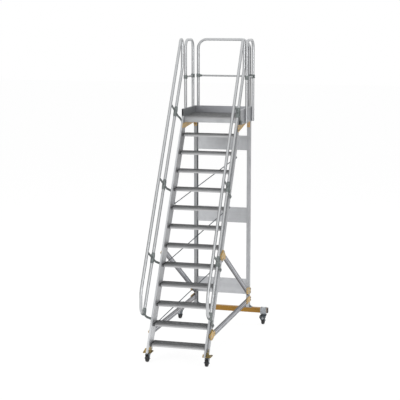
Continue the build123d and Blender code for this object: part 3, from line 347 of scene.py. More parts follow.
def zinc_plated(name, light, dark, roughness=0.3):
    """Bright zinc: faint crystal flakes of slightly different tone, with a cool cast."""
    made, tree, shader = new_material(name)
    vector = object_vector(tree)
    marks = use_effect(tree, BLOTCHES, {"Vector": vector, "Size": 0.05})
    edges = use_effect(tree, EDGE_WEAR, {"Radius": 0.0015, "Grain": marks["Grain"]})
    flakes = node(tree, "ShaderNodeTexVoronoi", {"Vector": vector, "Scale": 160.0, "Randomness": 1.0})
    shade = node(tree, "ShaderNodeSeparateColor", {0: flakes.outputs["Color"]}).outputs[0]
    patches = times(tree, marks["Patches"], 0.5)
    tone = plus(tree, times(tree, shade, 0.35), patches, clamp=True)
    rough = between(tree, tone, 0.0, 1.0, roughness, roughness + 0.16)
    dress(tree, shader, blend(tree, tone, light, dark), rough, shade, 0.05, 0.0004, edges["Soft normal"])
    shader.inputs["Metallic"].default_value = 0.8
    return made


def yellow_passivate(name, fresh, aged, olive_tone, olive_from=0.52):
    """Yellow passivated zinc: straw yellow that turns darker and olive in slow clouds."""
    made, tree, shader = new_material(name)
    vector = object_vector(tree)
    marks = use_effect(tree, BLOTCHES, {"Vector": vector, "Size": 0.07})
    edges = use_effect(tree, EDGE_WEAR, {"Radius": 0.0018, "Grain": marks["Grain"]})
    clouds = between(tree, noise(tree, vector, 16.0, 3.0, 0.55), 0.35, 0.65)
    colour = blend(tree, clouds, fresh, aged)
    olive = between(tree, noise(tree, vector, 9.0, 2.0), olive_from, olive_from + 0.18, 0.0, 0.8)
    colour = blend(tree, olive, colour, olive_tone)
    colour = blend(tree, times(tree, edges["Wear"], 0.45), colour, RUBBED_YELLOW)
    rough = between(tree, marks["Grain"], 0.3, 0.7, 0.36, 0.5)
    dress(tree, shader, colour, rough, marks["Grain"], 0.06, 0.0005, edges["Soft normal"])
    shader.inputs["Metallic"].default_value = 0.5
    return made


def enamel(name, colour, worn):
    """Sprayed enamel on steel: orange peel, darker rubbed patches and chipped edges."""
    made, tree, shader = new_material(name)
    vector = object_vector(tree)
    marks = use_effect(tree, BLOTCHES, {"Vector": vector, "Size": 0.2})
    edges = use_effect(tree, EDGE_WEAR, {"Radius": 0.002, "Grain": marks["Grain"]})
    shade = blend(tree, times(tree, marks["Patches"], 0.7), colour, worn)
    shade = blend(tree, times(tree, edges["Wear"], 0.35), shade, RUBBED_ENAMEL)
    rough = between(tree, marks["Grain"], 0.3, 0.7, 0.34, 0.46)
    dress(tree, shader, shade, rough, noise(tree, vector, 420.0, 2.0), 0.08, 0.0006, edges["Soft normal"])
    shader.inputs["Coat Weight"].default_value = 0.15
    return made


def black_moulding(name, colour, dusty, roughness, grain_scale, dust, tones=None):
    """Moulded plastic or rubber: fine eroded skin, with pale dust in soft patches."""
    made, tree, shader = new_material(name)
    vector = object_vector(tree)
    marks = use_effect(tree, BLOTCHES, {"Vector": vector, "Size": 0.03})
    edges = use_effect(tree, EDGE_WEAR, {"Radius": 0.0012, "Grain": marks["Grain"]})
    mask = times(tree, plus(tree, marks["Patches"], edges["Wear"]), dust, clamp=True)
    shade = blend(tree, mask, colour, dusty)
    if tones:
        shade = tones(tree, shade)
    rough = between(tree, marks["Grain"], 0.3, 0.7, roughness - 0.08, roughness + 0.1)
    skin = noise(tree, vector, grain_scale, 2.0)
    dress(tree, shader, shade, rough, skin, 0.2, 0.0005, edges["Soft normal"])
    return made


# Tones by place, most of them painted light and shade

def step_place(tree):
    """How far a point of a tread lies below the tread's top and behind its nose."""
    _, y, z = coordinates(tree)
    step = maths(tree, "CEIL", maths(tree, "DIVIDE", minus(tree, z, 0.001), RISE))
    below = minus(tree, times(tree, step, RISE), z)
    ahead = plus(tree, times(tree, step, GOING), FOOT_Y)
    return below, minus(tree, y, ahead)


def tread_painted_light_and_back_line(tree, colour):
    """Painted light: the lower half of the nose's face paler, as the lit face. A dark line along the back
    edge.
    """
    below, behind = step_place(tree)
    nose = between(tree, behind, 0.012, 0.03, 1.0, 0.0)
    # painted light: the lower half of the nose's face made paler, as lit from the front
    painted_light_lip = times(tree, nose, between(tree, below, 0.016, 0.021, 0.25, 1.0))
    colour = blend(tree, painted_light_lip, colour, (0.60, 0.60, 0.61))
    return blend(tree, between(tree, behind, 0.160, 0.172, 0.0, 0.8), colour, (0.05, 0.05, 0.052))


def cap_painted_light(tree, colour):
    """Caps are black on top, with painted light on the nose's face: grey there, as the lit face."""
    below, behind = step_place(tree)
    front = between(tree, behind, 0.002, 0.006, 1.0, 0.0)
    face = times(tree, front, between(tree, below, 0.008, 0.014))
    # painted light: the nose's face made grey, as the lit face
    return blend(tree, times(tree, face, 0.7), colour, (0.19, 0.19, 0.195))


def deck_painted_light(tree, colour):
    """Painted light: the deck's front face paler than its top, as the lit face, most of all at the bottom.
    """
    _, y, z = coordinates(tree)
    face = between(tree, y, DECK_FRONT + 0.001, DECK_FRONT + 0.004, 1.0, 0.0)
    low = between(tree, z, DECK_Z - 0.022, DECK_Z - 0.016, 1.0, 0.45)
    # painted light on the front face
    return blend(tree, times(tree, face, low), colour, (0.50, 0.50, 0.51))


def stringer_painted_light_and_shade(tree, colour):
    """Painted light: the left stringer paler. Painted shade: the inner faces darker towards the top,
    in the treads' shade.
    """
    x, _, z = coordinates(tree)
    beside = maths(tree, "ABSOLUTE", x)
    inner = between(tree, beside, STRINGER_INNER + 0.0005, STRINGER_INNER + 0.002, 1.0, 0.0)
    shade = times(tree, inner, between(tree, z, 0.4, 2.9, 0.0, 0.55))
    # painted light: the left stringer made paler
    colour = blend(tree, between(tree, x, -0.1, 0.1, 0.45, 0.0), colour, (0.90, 0.91, 0.93))
    # painted shade: the inner faces darker towards the top
    return blend(tree, shade, colour, (0.20, 0.20, 0.205))


def left_side_painted_shade(amount, tone):
    """Painted shade for a pair: the left one darker, as it stands in the stair's shade."""
    def tones(tree, colour):
        x = coordinates(tree)[0]
        # painted shade on the left one
        return blend(tree, between(tree, x, -0.1, 0.1, amount, 0.0), colour, tone)
    return tones


def left_end_painted_shade(tree, colour):
    """Painted shade: darker towards the left end."""
    x = coordinates(tree)[0]
    # painted shade towards the left end
    return blend(tree, between(tree, x, -0.4, 0.3, 0.42, 0.0), colour, (0.18, 0.18, 0.19))


def strut_painted_shade_lines(start, run):
    """Painted shade for a strut: dark long lines in its grooves and along its edges. start and run: a point
    on its axis in the side view, and the axis's unit direction."""
    def tones(tree, colour):
        _, y, z = coordinates(tree)
        upwards = times(tree, minus(tree, z, start[1]), run[0])
        rearwards = times(tree, minus(tree, y, start[0]), run[1])
        away = maths(tree, "ABSOLUTE", minus(tree, upwards, rearwards))
        edge = between(tree, away, 0.027, 0.031)
        groove_side = between(tree, away, 0.020, 0.022, 1.0, 0.0)
        groove = times(tree, between(tree, away, 0.009, 0.011), groove_side)
        # painted shade in the grooves and along the edges
        dark = times(tree, maths(tree, "MAXIMUM", edge, groove), 0.85)
        return blend(tree, dark, colour, (0.06, 0.06, 0.068))
    return tones


def clamp_ends(tree, colour):
    """Knee rails of the guard: plain tube between the posts, cast clamps round the posts."""
    x, y, _ = coordinates(tree)
    beside = maths(tree, "ABSOLUTE", x)
    nearest = 1.0
    for post_x, post_y in GUARD_POSTS:
        gap_x, gap_y = minus(tree, beside, post_x), minus(tree, y, post_y)
        square = plus(tree, times(tree, gap_x, gap_x), times(tree, gap_y, gap_y))
        nearest = maths(tree, "MINIMUM", nearest, maths(tree, "SQRT", square))
    return blend(tree, between(tree, nearest, 0.060, 0.064), colour, TUBE_DARK)


STRUT_HALF = 0.036


def strut_line(node_name, front_along):
    """Axis of a strut in the side view: its start, its unit direction and the turn that lays it along Y."""
    low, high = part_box(node_name)
    start = slope(0.0, front_along, -STRINGER_REAR)[1:]
    lean = math.atan2(start[1] - low.z, high.y - start[0])
    end_z = low.z + STRUT_HALF / math.cos(lean)
    length = math.hypot(high.y - start[0], end_z - start[1])
    run = ((high.y - start[0]) / length, (end_z - start[1]) / length)
    return start, run, (-math.atan2(run[1], run[0]), 0.0, 0.0)


# Materials, and the one that each node gets

ALONG_X, ALONG_Y, ALONG_Z = (0.0, 0.0, math.radians(90)), (0.0, 0.0, 0.0), (math.radians(-90), 0.0, 0.0)
UP_THE_STAIR = (-PITCH, 0.0, 0.0)
MILL_LIGHT, MILL_DARK = (0.60, 0.61, 0.625), (0.43, 0.44, 0.455)
STRUT_LIGHT, STRUT_DARK = (0.68, 0.69, 0.73), (0.50, 0.51, 0.54)
BOARD_LIGHT, BOARD_DARK = (0.68, 0.69, 0.71), (0.48, 0.49, 0.505)
TREAD_LIGHT, TREAD_DARK = (0.20, 0.203, 0.206), (0.125, 0.127, 0.13)
TUBE_LIGHT, TUBE_DARK = (0.62, 0.63, 0.64), (0.50, 0.51, 0.52)
CAST_LIGHT, CAST_DARK = (0.25, 0.275, 0.27), (0.13, 0.15, 0.15)
UPPER_STRUT = strut_line("upper_struts", UPPER_CUP_ALONG)
LOWER_STRUT = strut_line("lower_struts", LOWER_CUP_ALONG)
LEFT_PAINTED_SHADE = (0.15, 0.155, 0.16)

MATERIALS = {
    "stringer": drawn_metal(
        "stringer mill finish", MILL_LIGHT, MILL_DARK, UP_THE_STAIR, tones=stringer_painted_light_and_shade
    ),
    "upright": drawn_metal(
        "leg mill finish", MILL_LIGHT, MILL_DARK, ALONG_Z, tones=left_side_painted_shade(0.45, LEFT_PAINTED_SHADE)
    ),
    "across": drawn_metal("crosswise mill finish", MILL_LIGHT, MILL_DARK, ALONG_X),
    "lengthwise": drawn_metal("lengthwise mill finish", MILL_LIGHT, MILL_DARK, ALONG_Y),
    "toe_side": drawn_metal(
        "side toe board", MILL_LIGHT, MILL_DARK, ALONG_Y, tones=left_side_painted_shade(0.5, LEFT_PAINTED_SHADE)
    ),
    "toe_rear": drawn_metal("rear toe board", STRUT_LIGHT, STRUT_DARK, ALONG_X, tones=left_end_painted_shade),
    "board": drawn_metal("board rolled finish", BOARD_LIGHT, BOARD_DARK, ALONG_X, 0.32, 0.7, 0.004, 0.05),
    "strut_up": drawn_metal(
        "upper strut", STRUT_LIGHT, STRUT_DARK, UPPER_STRUT[2], tones=strut_painted_shade_lines(*UPPER_STRUT[:2])
    ),
    "strut_low": drawn_metal(
        "lower strut", STRUT_LIGHT, STRUT_DARK, LOWER_STRUT[2], tones=strut_painted_shade_lines(*LOWER_STRUT[:2])
    ),
    "tread": drawn_metal(
        "tread ribbed finish", TREAD_LIGHT, TREAD_DARK, ALONG_X, 0.45, 0.4, tones=tread_painted_light_and_back_line
    ),
    "deck": drawn_metal(
        "deck ribbed finish", TREAD_LIGHT, TREAD_DARK, ALONG_X, 0.45, 0.4, tones=deck_painted_light
    ),
    "guard_tube": drawn_metal("guard tube satin", TUBE_LIGHT, TUBE_DARK, ALONG_Z, 0.24, 0.85, 0.0012, 0.03),
    "stair_tube": drawn_metal(
        "handrail tube satin", TUBE_LIGHT, TUBE_DARK, UP_THE_STAIR, 0.24, 0.85, 0.0012, 0.03
    ),
    "cast": cast_metal("cast clamp", CAST_LIGHT, CAST_DARK),
    "knee": cast_metal("guard knee rail", CAST_LIGHT, CAST_DARK, tones=clamp_ends),
    "zinc": zinc_plated("bright zinc plate", (0.44, 0.46, 0.48), (0.29, 0.315, 0.335)),
    "steel": zinc_plated("dull zinc castor steel", (0.17, 0.19, 0.21), (0.06, 0.072, 0.085)),
    "yellow": yellow_passivate(
        "yellow passivated zinc", (0.76, 0.49, 0.18), (0.60, 0.41, 0.14), (0.28, 0.22, 0.08)
    ),
    # painted shade: a darker copy of the yellow zinc, for the front castor brackets
    "yellow_shaded": yellow_passivate(
        "shaded yellow passivated zinc", (0.56, 0.38, 0.13), (0.34, 0.25, 0.08), (0.13, 0.11, 0.045), 0.46
    ),
    "enamel": enamel("ochre enamel", (0.42, 0.205, 0.012), (0.33, 0.155, 0.012)),
    "plastic": black_moulding(
        "black moulded plastic", (0.018, 0.018, 0.02), (0.07, 0.07, 0.07), 0.5, 700.0, 0.3, cap_painted_light
    ),
    "rubber": black_moulding(
        "black rubber tyre", (0.010, 0.010, 0.011), (0.06, 0.058, 0.055), 0.68, 500.0, 0.4
    ),
    "wheel_plastic": black_moulding(
        "grey wheel centre", (0.05, 0.052, 0.055), (0.14, 0.14, 0.14), 0.4, 600.0, 0.3
    ),
}

FINISH_OF = {
    "stringer": "stringer",
    "tread_end_caps": "plastic",
    "tread_": "tread",
    "platform_deck": "deck",
    "platform_side_beams": "lengthwise",
    "platform_gussets": "yellow",
    "platform_": "across",
    "toe_board_rear": "toe_rear",
    "toe_board_": "toe_side",
    "guard_rail": "guard_tube",
    "guard_knee_rail": "knee",
    "handrail_brackets": "cast",
    "handrail_": "stair_tube",
    "leg_feet": "zinc",
    "leg_": "upright",
    "cross_panel": "board",
    "upper_struts": "strut_up",
    "lower_struts": "strut_low",
    "strut_brackets": "yellow",
    "tie_rods": "steel",
    "rear_cross_beam": "enamel",
    "beam_end_caps": "plastic",
    "front_castor_brackets": "yellow_shaded",
    "rear_castor_mounts": "zinc",
}
for castor in CASTORS:
    FINISH_OF[f"{castor}_fork"] = "steel"
    FINISH_OF[f"{castor}_tyre"] = "rubber"
    FINISH_OF[f"{castor}_hub"] = "wheel_plastic"


def finish_for(name):
    """The finish of the longest beginning of the node's name that the table holds."""
    matches = [start for start in FINISH_OF if name.startswith(start)]
    return MATERIALS[FINISH_OF[max(matches, key=len)]]


for name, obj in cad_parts.items():
    for place in obj.material_slots:
        place.material = finish_for(name)


# Grids of heads

SUNK = 0.0005


def hexagon(angle):
    """Radius of a hexagon of inner radius 1 at each angle, with a corner at angle 0."""
    sector = math.pi / 3
    return 1.0 / np.cos(np.mod(angle, sector) - sector / 2)


def head_grid(across_flats, height, washer, sides=24):
    """Bolt head and washer turned about +Z: rings of the washer's rim, then of the hexagon, then its
    rounded top. The grid has one row a ring and one column a direction."""
    angle = np.arange(sides) * 2 * math.pi / sides
    circle, hexed = np.ones(sides), hexagon(angle)
    flat, rim, thick = across_flats / 2, washer / 2, 0.16 * across_flats
    rings = (
        (rim * circle, -SUNK),
        (rim * circle, thick * 0.8),
        ((rim - thick * 0.2) * circle, thick),
        (flat * hexed, thick),
        (flat * hexed, thick + height * 0.86),
        (flat * 0.93 * circle, thick + height),
    )
    radius = np.array([ring[0] for ring in rings])
    z = np.array([ring[1] for ring in rings])[:, None] * circle
    return np.stack((radius * np.cos(angle), radius * np.sin(angle), z), axis=-1)


def dome_grid(diameter, height, sides=20, rows=5, sunk=SUNK):
    """Rivet, button head or boss: a quarter circle's profile turned about +Z, its foot sunk in the face."""
    angle = np.arange(sides) * 2 * math.pi / sides
    rise = np.linspace(0, math.pi / 2 * 0.96, rows)
    radius = np.concatenate(([diameter / 2], diameter / 2 * np.cos(rise)))[:, None]
    z = np.concatenate(([-sunk], height * np.sin(rise)))[:, None]
    return np.stack((radius * np.cos(angle), radius * np.sin(angle), z * np.ones(sides)), axis=-1)


def bases_for(axes, seed):
    """A frame for each axis, with the axis as its third column, turned about it by a seeded angle."""
    axes = np.asarray(axes, float)
    axes /= np.linalg.norm(axes, axis=1, keepdims=True)
    helper = np.where(np.abs(axes[:, 2:3]) < 0.9, (0.0, 0.0, 1.0), (1.0, 0.0, 0.0))
    first = np.cross(helper, axes)
    first /= np.linalg.norm(first, axis=1, keepdims=True)
    second = np.cross(axes, first)
    turn = np.random.default_rng(seed).uniform(0, math.pi / 3, len(axes))[:, None]
    spun = first * np.cos(turn) + second * np.sin(turn)
    return np.stack((spun, np.cross(axes, spun), axes), axis=-1)


# Pieces from grids

def ringed_mesh(name, grids):
    """One mesh from grids of shape (copies, rings, sides, 3): quads between rings, a face on each end."""
    points, faces, start = [], [], 0
    for grid in grids:
        copies, rings, sides = grid.shape[:3]
        index = start + np.arange(copies * rings * sides).reshape(copies, rings, sides)
        after = np.roll(index, -1, axis=2)
        quads = np.stack((index[:, :-1], after[:, :-1], after[:, 1:], index[:, 1:]), axis=-1)
        faces += quads.reshape(-1, 4).tolist()
        faces += index[:, -1].tolist()
        faces += index[:, 0, ::-1].tolist()
        points.append(grid.reshape(-1, 3))
        start += copies * rings * sides
    mesh = bpy.data.meshes.new(name)
    mesh.from_pydata(np.concatenate(points).tolist(), [], faces)
    mesh.update()
    return mesh


def add_object(name, data):
    """New object in the scene, with its mesh, lamp or camera data."""
    obj = bpy.data.objects.new(name, data)
    bpy.context.scene.collection.objects.link(obj)
    return obj


def fasten(name, body, finish, sets, seed):
    """One piece of repeated heads. sets: a head's grid, its places and the way that each faces."""
    grids = []
    for number, (grid, places, axes) in enumerate(sets):
        bases = bases_for(axes, seed + number)
        grids.append(np.asarray(places, float)[:, None, None] + np.einsum("nij,rsj->nrsi", bases, grid))
    obj = add_object(name, ringed_mesh(name, grids))
    obj.data.materials.append(MATERIALS[finish])
    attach(obj, body)
    return obj


def pair_of(grid):
    """A grid on the right with its mirror image, whose sides run the other way round."""
    return np.stack((grid, grid[:, ::-1] * (-1.0, 1.0, 1.0)))


def press(name, finish, grids):
    """One piece from grids on the right and their mirror images, riding on the frame."""
    obj = add_object(name, ringed_mesh(name, [pair_of(grid) for grid in grids]))
    obj.data.materials.append(MATERIALS[finish])
    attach(obj, "frame")
    return obj


# Fasteners: hexagon heads with washers, rivets and button heads

M10 = head_grid(0.016, 0.0064, 0.021)
M8 = head_grid(0.013, 0.0053, 0.017)
RIVET = dome_grid(0.009, 0.0022)
BUTTON = dome_grid(0.014, 0.0045, sunk=0.0025)
OUTWARD, UPWARD, DOWNWARD, FORWARD, REARWARD = (1, 0, 0), (0, 0, 1), (0, 0, -1), (0, -1, 0), (0, 1, 0)


def both_sides(points, way=OUTWARD):
    """Points on the right with their mirror images on the left, and the way that each faces."""
    right = [tuple(point) for point in points]
    left = [(-x, y, z) for x, y, z in right]
    return right + left, [way] * len(right) + [(-way[0], way[1], way[2])] * len(left)


def grid_points(xs, ys, zs):
    """Every point with one of the given x, y and z."""
    return [(x, y, z) for x in xs for y in ys for z in zs]


def about(middle, half):
    """The two places half a spacing to each side of a middle."""
    return (middle - half, middle + half)


# Tread bolts in the stringers' outer channels
STRINGER_WALL = 0.003
TREAD_BOLT_DROP = 0.004
TREAD_BOLT_OFFSETS = (-0.014, -0.036)
tread_bolts = [
    slope(STRINGER_INNER + STRINGER_WALL, step * RISE / math.sin(PITCH) - TREAD_BOLT_DROP, offset)
    for step in range(1, STEPS + 1)
    for offset in TREAD_BOLT_OFFSETS
]
fasten("tread_bolts", "frame", "zinc", [(M8, *both_sides(tread_bolts))], 11)

# Handrail brackets: distance up the stair line, the foot's offset and its outer face; screws on the arm
BRACKET_FEET = (
    (0.608, -0.104, 0.418),
    (1.385, -0.104, 0.418),
    (2.447, -0.104, 0.418),
    (3.548, -0.072, 0.442),
)
STRAP = 0.012
ARM_SCREWS = (0.300, 0.455)
feet = [slope(face, along, offset) for along, offset, face in BRACKET_FEET]
arm_places = [(along, offset) for along, _, _ in BRACKET_FEET[1:] for offset in ARM_SCREWS]
screws = [slope(RAIL_X + STRAP / 2, along, offset) for along, offset in arm_places]
bracket_heads = [(M10, *both_sides(feet)), (BUTTON, *both_sides(screws))]
fasten("handrail_bolts", "frame", "zinc", bracket_heads, 13)

# Guard posts: bolts through the posts into the platform's frame and the toe boards, clamp screws
POST_BOLT_Z = (DECK_Z - 0.085, DECK_Z - 0.030, DECK_Z + 0.060)
KNEE_LOW, KNEE_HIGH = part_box("guard_knee_rail_rear")
KNEE_Z = (KNEE_LOW.z + KNEE_HIGH.z) / 2
CLAMP_SCREW_Z = about(KNEE_Z, 0.014)
post_bolts = grid_points((RAIL_X + TUBE,), SIDE_POSTS, POST_BOLT_Z)
clamp_screws = grid_points((RAIL_X + CLAMP_RADIUS,), SIDE_POSTS, CLAMP_SCREW_Z)
rear_bolts = grid_points((GUARD_REAR_X,), (GUARD_REAR_Y + TUBE,), POST_BOLT_Z)
rear_screws = grid_points((GUARD_REAR_X,), (GUARD_REAR_Y - CLAMP_RADIUS,), CLAMP_SCREW_Z)
fasten(
    "guard_bolts",
    "frame",
    "zinc",
    [
        (BUTTON, *both_sides(post_bolts + clamp_screws)),
        (BUTTON, *both_sides(rear_bolts, REARWARD)),
        (BUTTON, *both_sides(rear_screws, FORWARD)),
    ],
    17,
)

# Platform frame: bolts at the ends of its cross beams, through the gussets and their flanges
END_INSET = 0.020
BEAM_BOLT_Z = DECK_Z - 0.062
FLANGE_X, FLANGE_STEPS = 0.420, (0.08, 0.20, 0.32)
BEARER_LOW, BEARER_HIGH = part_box("platform_bearers")
cross_ys = (
    DECK_FRONT + END_INSET,
    BEARER_LOW.y + END_INSET,
    BEARER_HIGH.y - END_INSET,
    DECK_REAR - END_INSET,
)
beam_bolts = grid_points((BEAM_HIGH.x,), cross_ys, (BEAM_BOLT_Z,))
GUSSET_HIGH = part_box("platform_gussets")[1]
GUSSET_FACE = STRINGER_OUTER + PLATE
front_gusset_ys = (DECK_FRONT - 0.052, DECK_FRONT - 0.016)
gusset_bolts = grid_points((GUSSET_FACE,), front_gusset_ys, (GUSSET_HIGH.z - 0.024, GUSSET_HIGH.z - 0.070))
rear_gusset_zs = (GUSSET_HIGH.z - 0.024, GUSSET_HIGH.z - 0.055)
gusset_bolts += grid_points((GUSSET_FACE,), (GUSSET_HIGH.y - 0.030,), rear_gusset_zs)
flange_ys = [DECK_FRONT + step for step in FLANGE_STEPS]
flange_bolts = grid_points((FLANGE_X,), flange_ys, (BEAM_LOW.z - PLATE,))
leg_flange_zs = (GUSSET_HIGH.z - 0.022, GUSSET_HIGH.z - 0.063)
leg_flange_bolts = grid_points((LEG_X,), (LEG_LOW.y - PLATE,), leg_flange_zs)
fasten(
    "platform_bolts",
    "frame",
    "zinc",
    [
        (M8, *both_sides(beam_bolts + gusset_bolts)),
        (M8, *both_sides(flange_bolts, DOWNWARD)),
        (M8, *both_sides(leg_flange_bolts, FORWARD)),
    ],
    19,
)


def on_slope(x, along, offset):
    """Points from arrays of x, of distances up the stair line and of offsets square to it."""
    return np.stack(np.broadcast_arrays(*slope(x, along, offset)), axis=-1)


def on_side(x, y, z):
    """Points from arrays of x, y and z."""
    return np.stack(np.broadcast_arrays(x, y, z), axis=-1)


def angles(count):
    """Angles of a closed ring as a row, half a step off the axes."""
    return (np.arange(count) + 0.5) * 2 * math.pi / count


# Lowest handrail brackets, of which the solids have only the sockets: strap, foot and sleeve
STRAP_ALONG, FOOT_OFFSET, _ = BRACKET_FEET[0]
STRAP_HALF, KNEE_OFFSET = 0.014, 0.243
BEND_OFFSETS, BEND_SHIFT = (0.040, 0.105), 0.006
FOOT_RADIUS, FOOT_EDGE = 0.025, 0.001
BORE, MOUTH = 0.0203, 0.0223
SLEEVE_LOW, SLEEVE_SHOULDER, SLEEVE_HIGH, BORE_LOW = -0.016, 0.042, 0.080, -0.0098
arm_x = RAIL_X - STRAP / 2 - STRINGER_OUTER
strap_x = np.array((0.0, 0.0, arm_x, arm_x))
strap_x = STRINGER_OUTER + np.concatenate((strap_x, strap_x[::-1] + STRAP))
inner_offset = np.array((FOOT_OFFSET, *BEND_OFFSETS, KNEE_OFFSET - 0.024))
outer_offset = inner_offset - np.array((0.0, BEND_SHIFT, BEND_SHIFT, 0.0))
strap_offset = np.concatenate((inner_offset, outer_offset[::-1]))
strap_edges = STRAP_ALONG + np.array((-STRAP_HALF, STRAP_HALF))[:, None]
turn = angles(32)
foot_radius = np.array((FOOT_RADIUS, FOOT_RADIUS, FOOT_RADIUS - FOOT_EDGE))[:, None]
foot_x = STRINGER_OUTER + np.array((0.0, STRAP - FOOT_EDGE, STRAP))[:, None]
sleeve_radius = np.array((CLAMP_RADIUS, CLAMP_RADIUS, MOUTH, BORE, BORE))[:, None]
sleeve_steps = np.array((SLEEVE_LOW, SLEEVE_SHOULDER, SLEEVE_HIGH, SLEEVE_HIGH, BORE_LOW))
sleeve_along = STRAP_ALONG + sleeve_steps[:, None]
press(
    "lowest_handrail_straps",
    "cast",
    [
        on_slope(strap_x, strap_edges, strap_offset),
        on_slope(foot_x, STRAP_ALONG + foot_radius * np.cos(turn), FOOT_OFFSET + foot_radius * np.sin(turn)),
        on_slope(
            RAIL_X + sleeve_radius * np.cos(turn), sleeve_along, KNEE_OFFSET - sleeve_radius * np.sin(turn)
        ),
    ],
)

# Inner gussets: plates on the stringers' inner faces that run back under the platform
GUSSET_TOP, GUSSET_FRONT_Z, GUSSET_REAR_Z = DECK_Z - 0.092, DECK_Z - 0.159, DECK_Z - 0.134
GUSSET_KNEE_Y, GUSSET_REAR_Y = DECK_FRONT + 0.099, DECK_FRONT + 0.385
GUSSET_SETBACK = 0.060
gusset_z = np.array((GUSSET_FRONT_Z, GUSSET_FRONT_Z + 0.003, GUSSET_REAR_Z, GUSSET_TOP, GUSSET_TOP))
front_edge = [FOOT_Y + z / math.tan(PITCH) - GUSSET_SETBACK for z in (GUSSET_FRONT_Z, GUSSET_TOP)]
gusset_y = np.array((front_edge[0], GUSSET_KNEE_Y, GUSSET_REAR_Y, GUSSET_REAR_Y, front_edge[1]))
inner_x = STRINGER_INNER + np.array((-PLATE, -0.0002))[:, None]
press("inner_gussets", "yellow", [on_side(inner_x, gusset_y, gusset_z)])


def hull_ring(centres, radius, count=48):
    """Ring round circles: in each direction the point of the circle that reaches farthest that way."""
    way = np.stack((np.cos(angles(count)), np.sin(angles(count))), axis=-1)
    nearest = np.argmax(way @ np.asarray(centres).T, axis=1)
    return np.asarray(centres)[nearest] + radius * way


def pressed_plate(centres, radius, levels):
    """Pressed plate round circles in the side view. levels: x and how far the ring draws in there."""
    rings = [hull_ring(centres, radius - draw) for _, draw in levels]
    return np.stack([on_side(x, ring[:, 0], ring[:, 1]) for (x, _), ring in zip(levels, rings)])


# Strut brackets: cups on the stringers, and clamps over the struts' ends and the legs. They stand for
# the solids, whose clamps reach less far forward. CUP_CORNERS: distance up the stair line from the
# strut's, and offset. CLAMPS: lowest and highest place at the front, and how far the rear is lower
CUP_CORNERS = ((-0.056, -0.010), (0.038, -0.100), (-0.066, -0.100))
CUP_RADIUS, CUP_REACH, CUP_FACE = 0.022, 0.076, LEG_HIGH.x + PLATE
cup_levels = ((STRINGER_OUTER, 0.0), (CUP_FACE - 0.002, 0.0), (CUP_FACE, 0.002))
plates, plate_centres = [], []
for strut_along, (start, run, _) in ((UPPER_CUP_ALONG, UPPER_STRUT), (LOWER_CUP_ALONG, LOWER_STRUT)):
    centres = [slope(0.0, strut_along + along, offset)[1:] for along, offset in CUP_CORNERS]
    centres.append((start[0] + run[0] * CUP_REACH, start[1] + run[1] * CUP_REACH))
    plates.append(pressed_plate(centres, CUP_RADIUS, cup_levels))
    plate_centres += [(CUP_FACE, *centre) for centre in centres]
CLAMP_CORNER, CLAMP_FACE, CLAMP_REACH = 0.026, LEG_HIGH.x + 0.012, 0.150
CLAMPS = ((0.468, 0.568, 0.030), (0.318, 0.408, 0.0))
clamp_levels = ((LEG_HIGH.x, 0.0), (CLAMP_FACE - 0.002, 0.0055), (CLAMP_FACE, 0.008))
clamp_front, clamp_rear = LEG_LOW.y - CLAMP_REACH + CLAMP_CORNER, LEG_HIGH.y - 0.006 - CLAMP_CORNER
for low_z, high_z, drop in CLAMPS:
    bottom, top = low_z + CLAMP_CORNER, high_z - CLAMP_CORNER
    ends = ((clamp_front, 0.0), (clamp_rear, drop))
    centres = [(y, z - lower) for y, lower in ends for z in (bottom, top)]
    plates.append(pressed_plate(centres, CLAMP_CORNER, clamp_levels))
    plate_centres += [(CLAMP_FACE, *centre) for centre in centres]
strut_plates = press("strut_bracket_pressings", "yellow", plates)
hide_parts("strut_brackets")
fasten("strut_bolts", "frame", "zinc", [(M10, *both_sides(plate_centres))], 23)

# Rivets that hold the boards between the legs
RIVET_LINE, RIVET_INSET = LEG_Y - 0.008, 0.03
panel_rivets = []
for label in ("lower", "middle", "upper"):
    low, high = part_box(f"cross_panel_{label}")
    rivet_zs = np.linspace(low.z + RIVET_INSET, high.z - RIVET_INSET, 3)
    panel_rivets += grid_points((LEG_HIGH.x,), (RIVET_LINE,), rivet_zs)
fasten("panel_rivets", "frame", "upright", [(RIVET, *both_sides(panel_rivets))], 29)

# Tie rods: distance up the stair line at the left and the right end, offset behind the line; end nuts
TIE_RODS = ((0.620, 1.540), (1.466, 2.320), (2.345, 3.070))
ROD_OFFSET = -0.1943
ROD_X = (STRINGER_INNER + STRINGER_OUTER) / 2
NUT_GAP = 0.0025
nut_places, nut_axes = [], []
for left_along, right_along in TIE_RODS:
    left = Vector(slope(-ROD_X, left_along, ROD_OFFSET))
    right = Vector(slope(ROD_X, right_along, ROD_OFFSET))
    run = (right - left).normalized()
    nut_places += [tuple(right + run * NUT_GAP), tuple(left - run * NUT_GAP)]
    nut_axes += [tuple(run), tuple(-run)]
fasten("tie_rod_nuts", "frame", "steel", [(M10, nut_places, nut_axes)], 31)

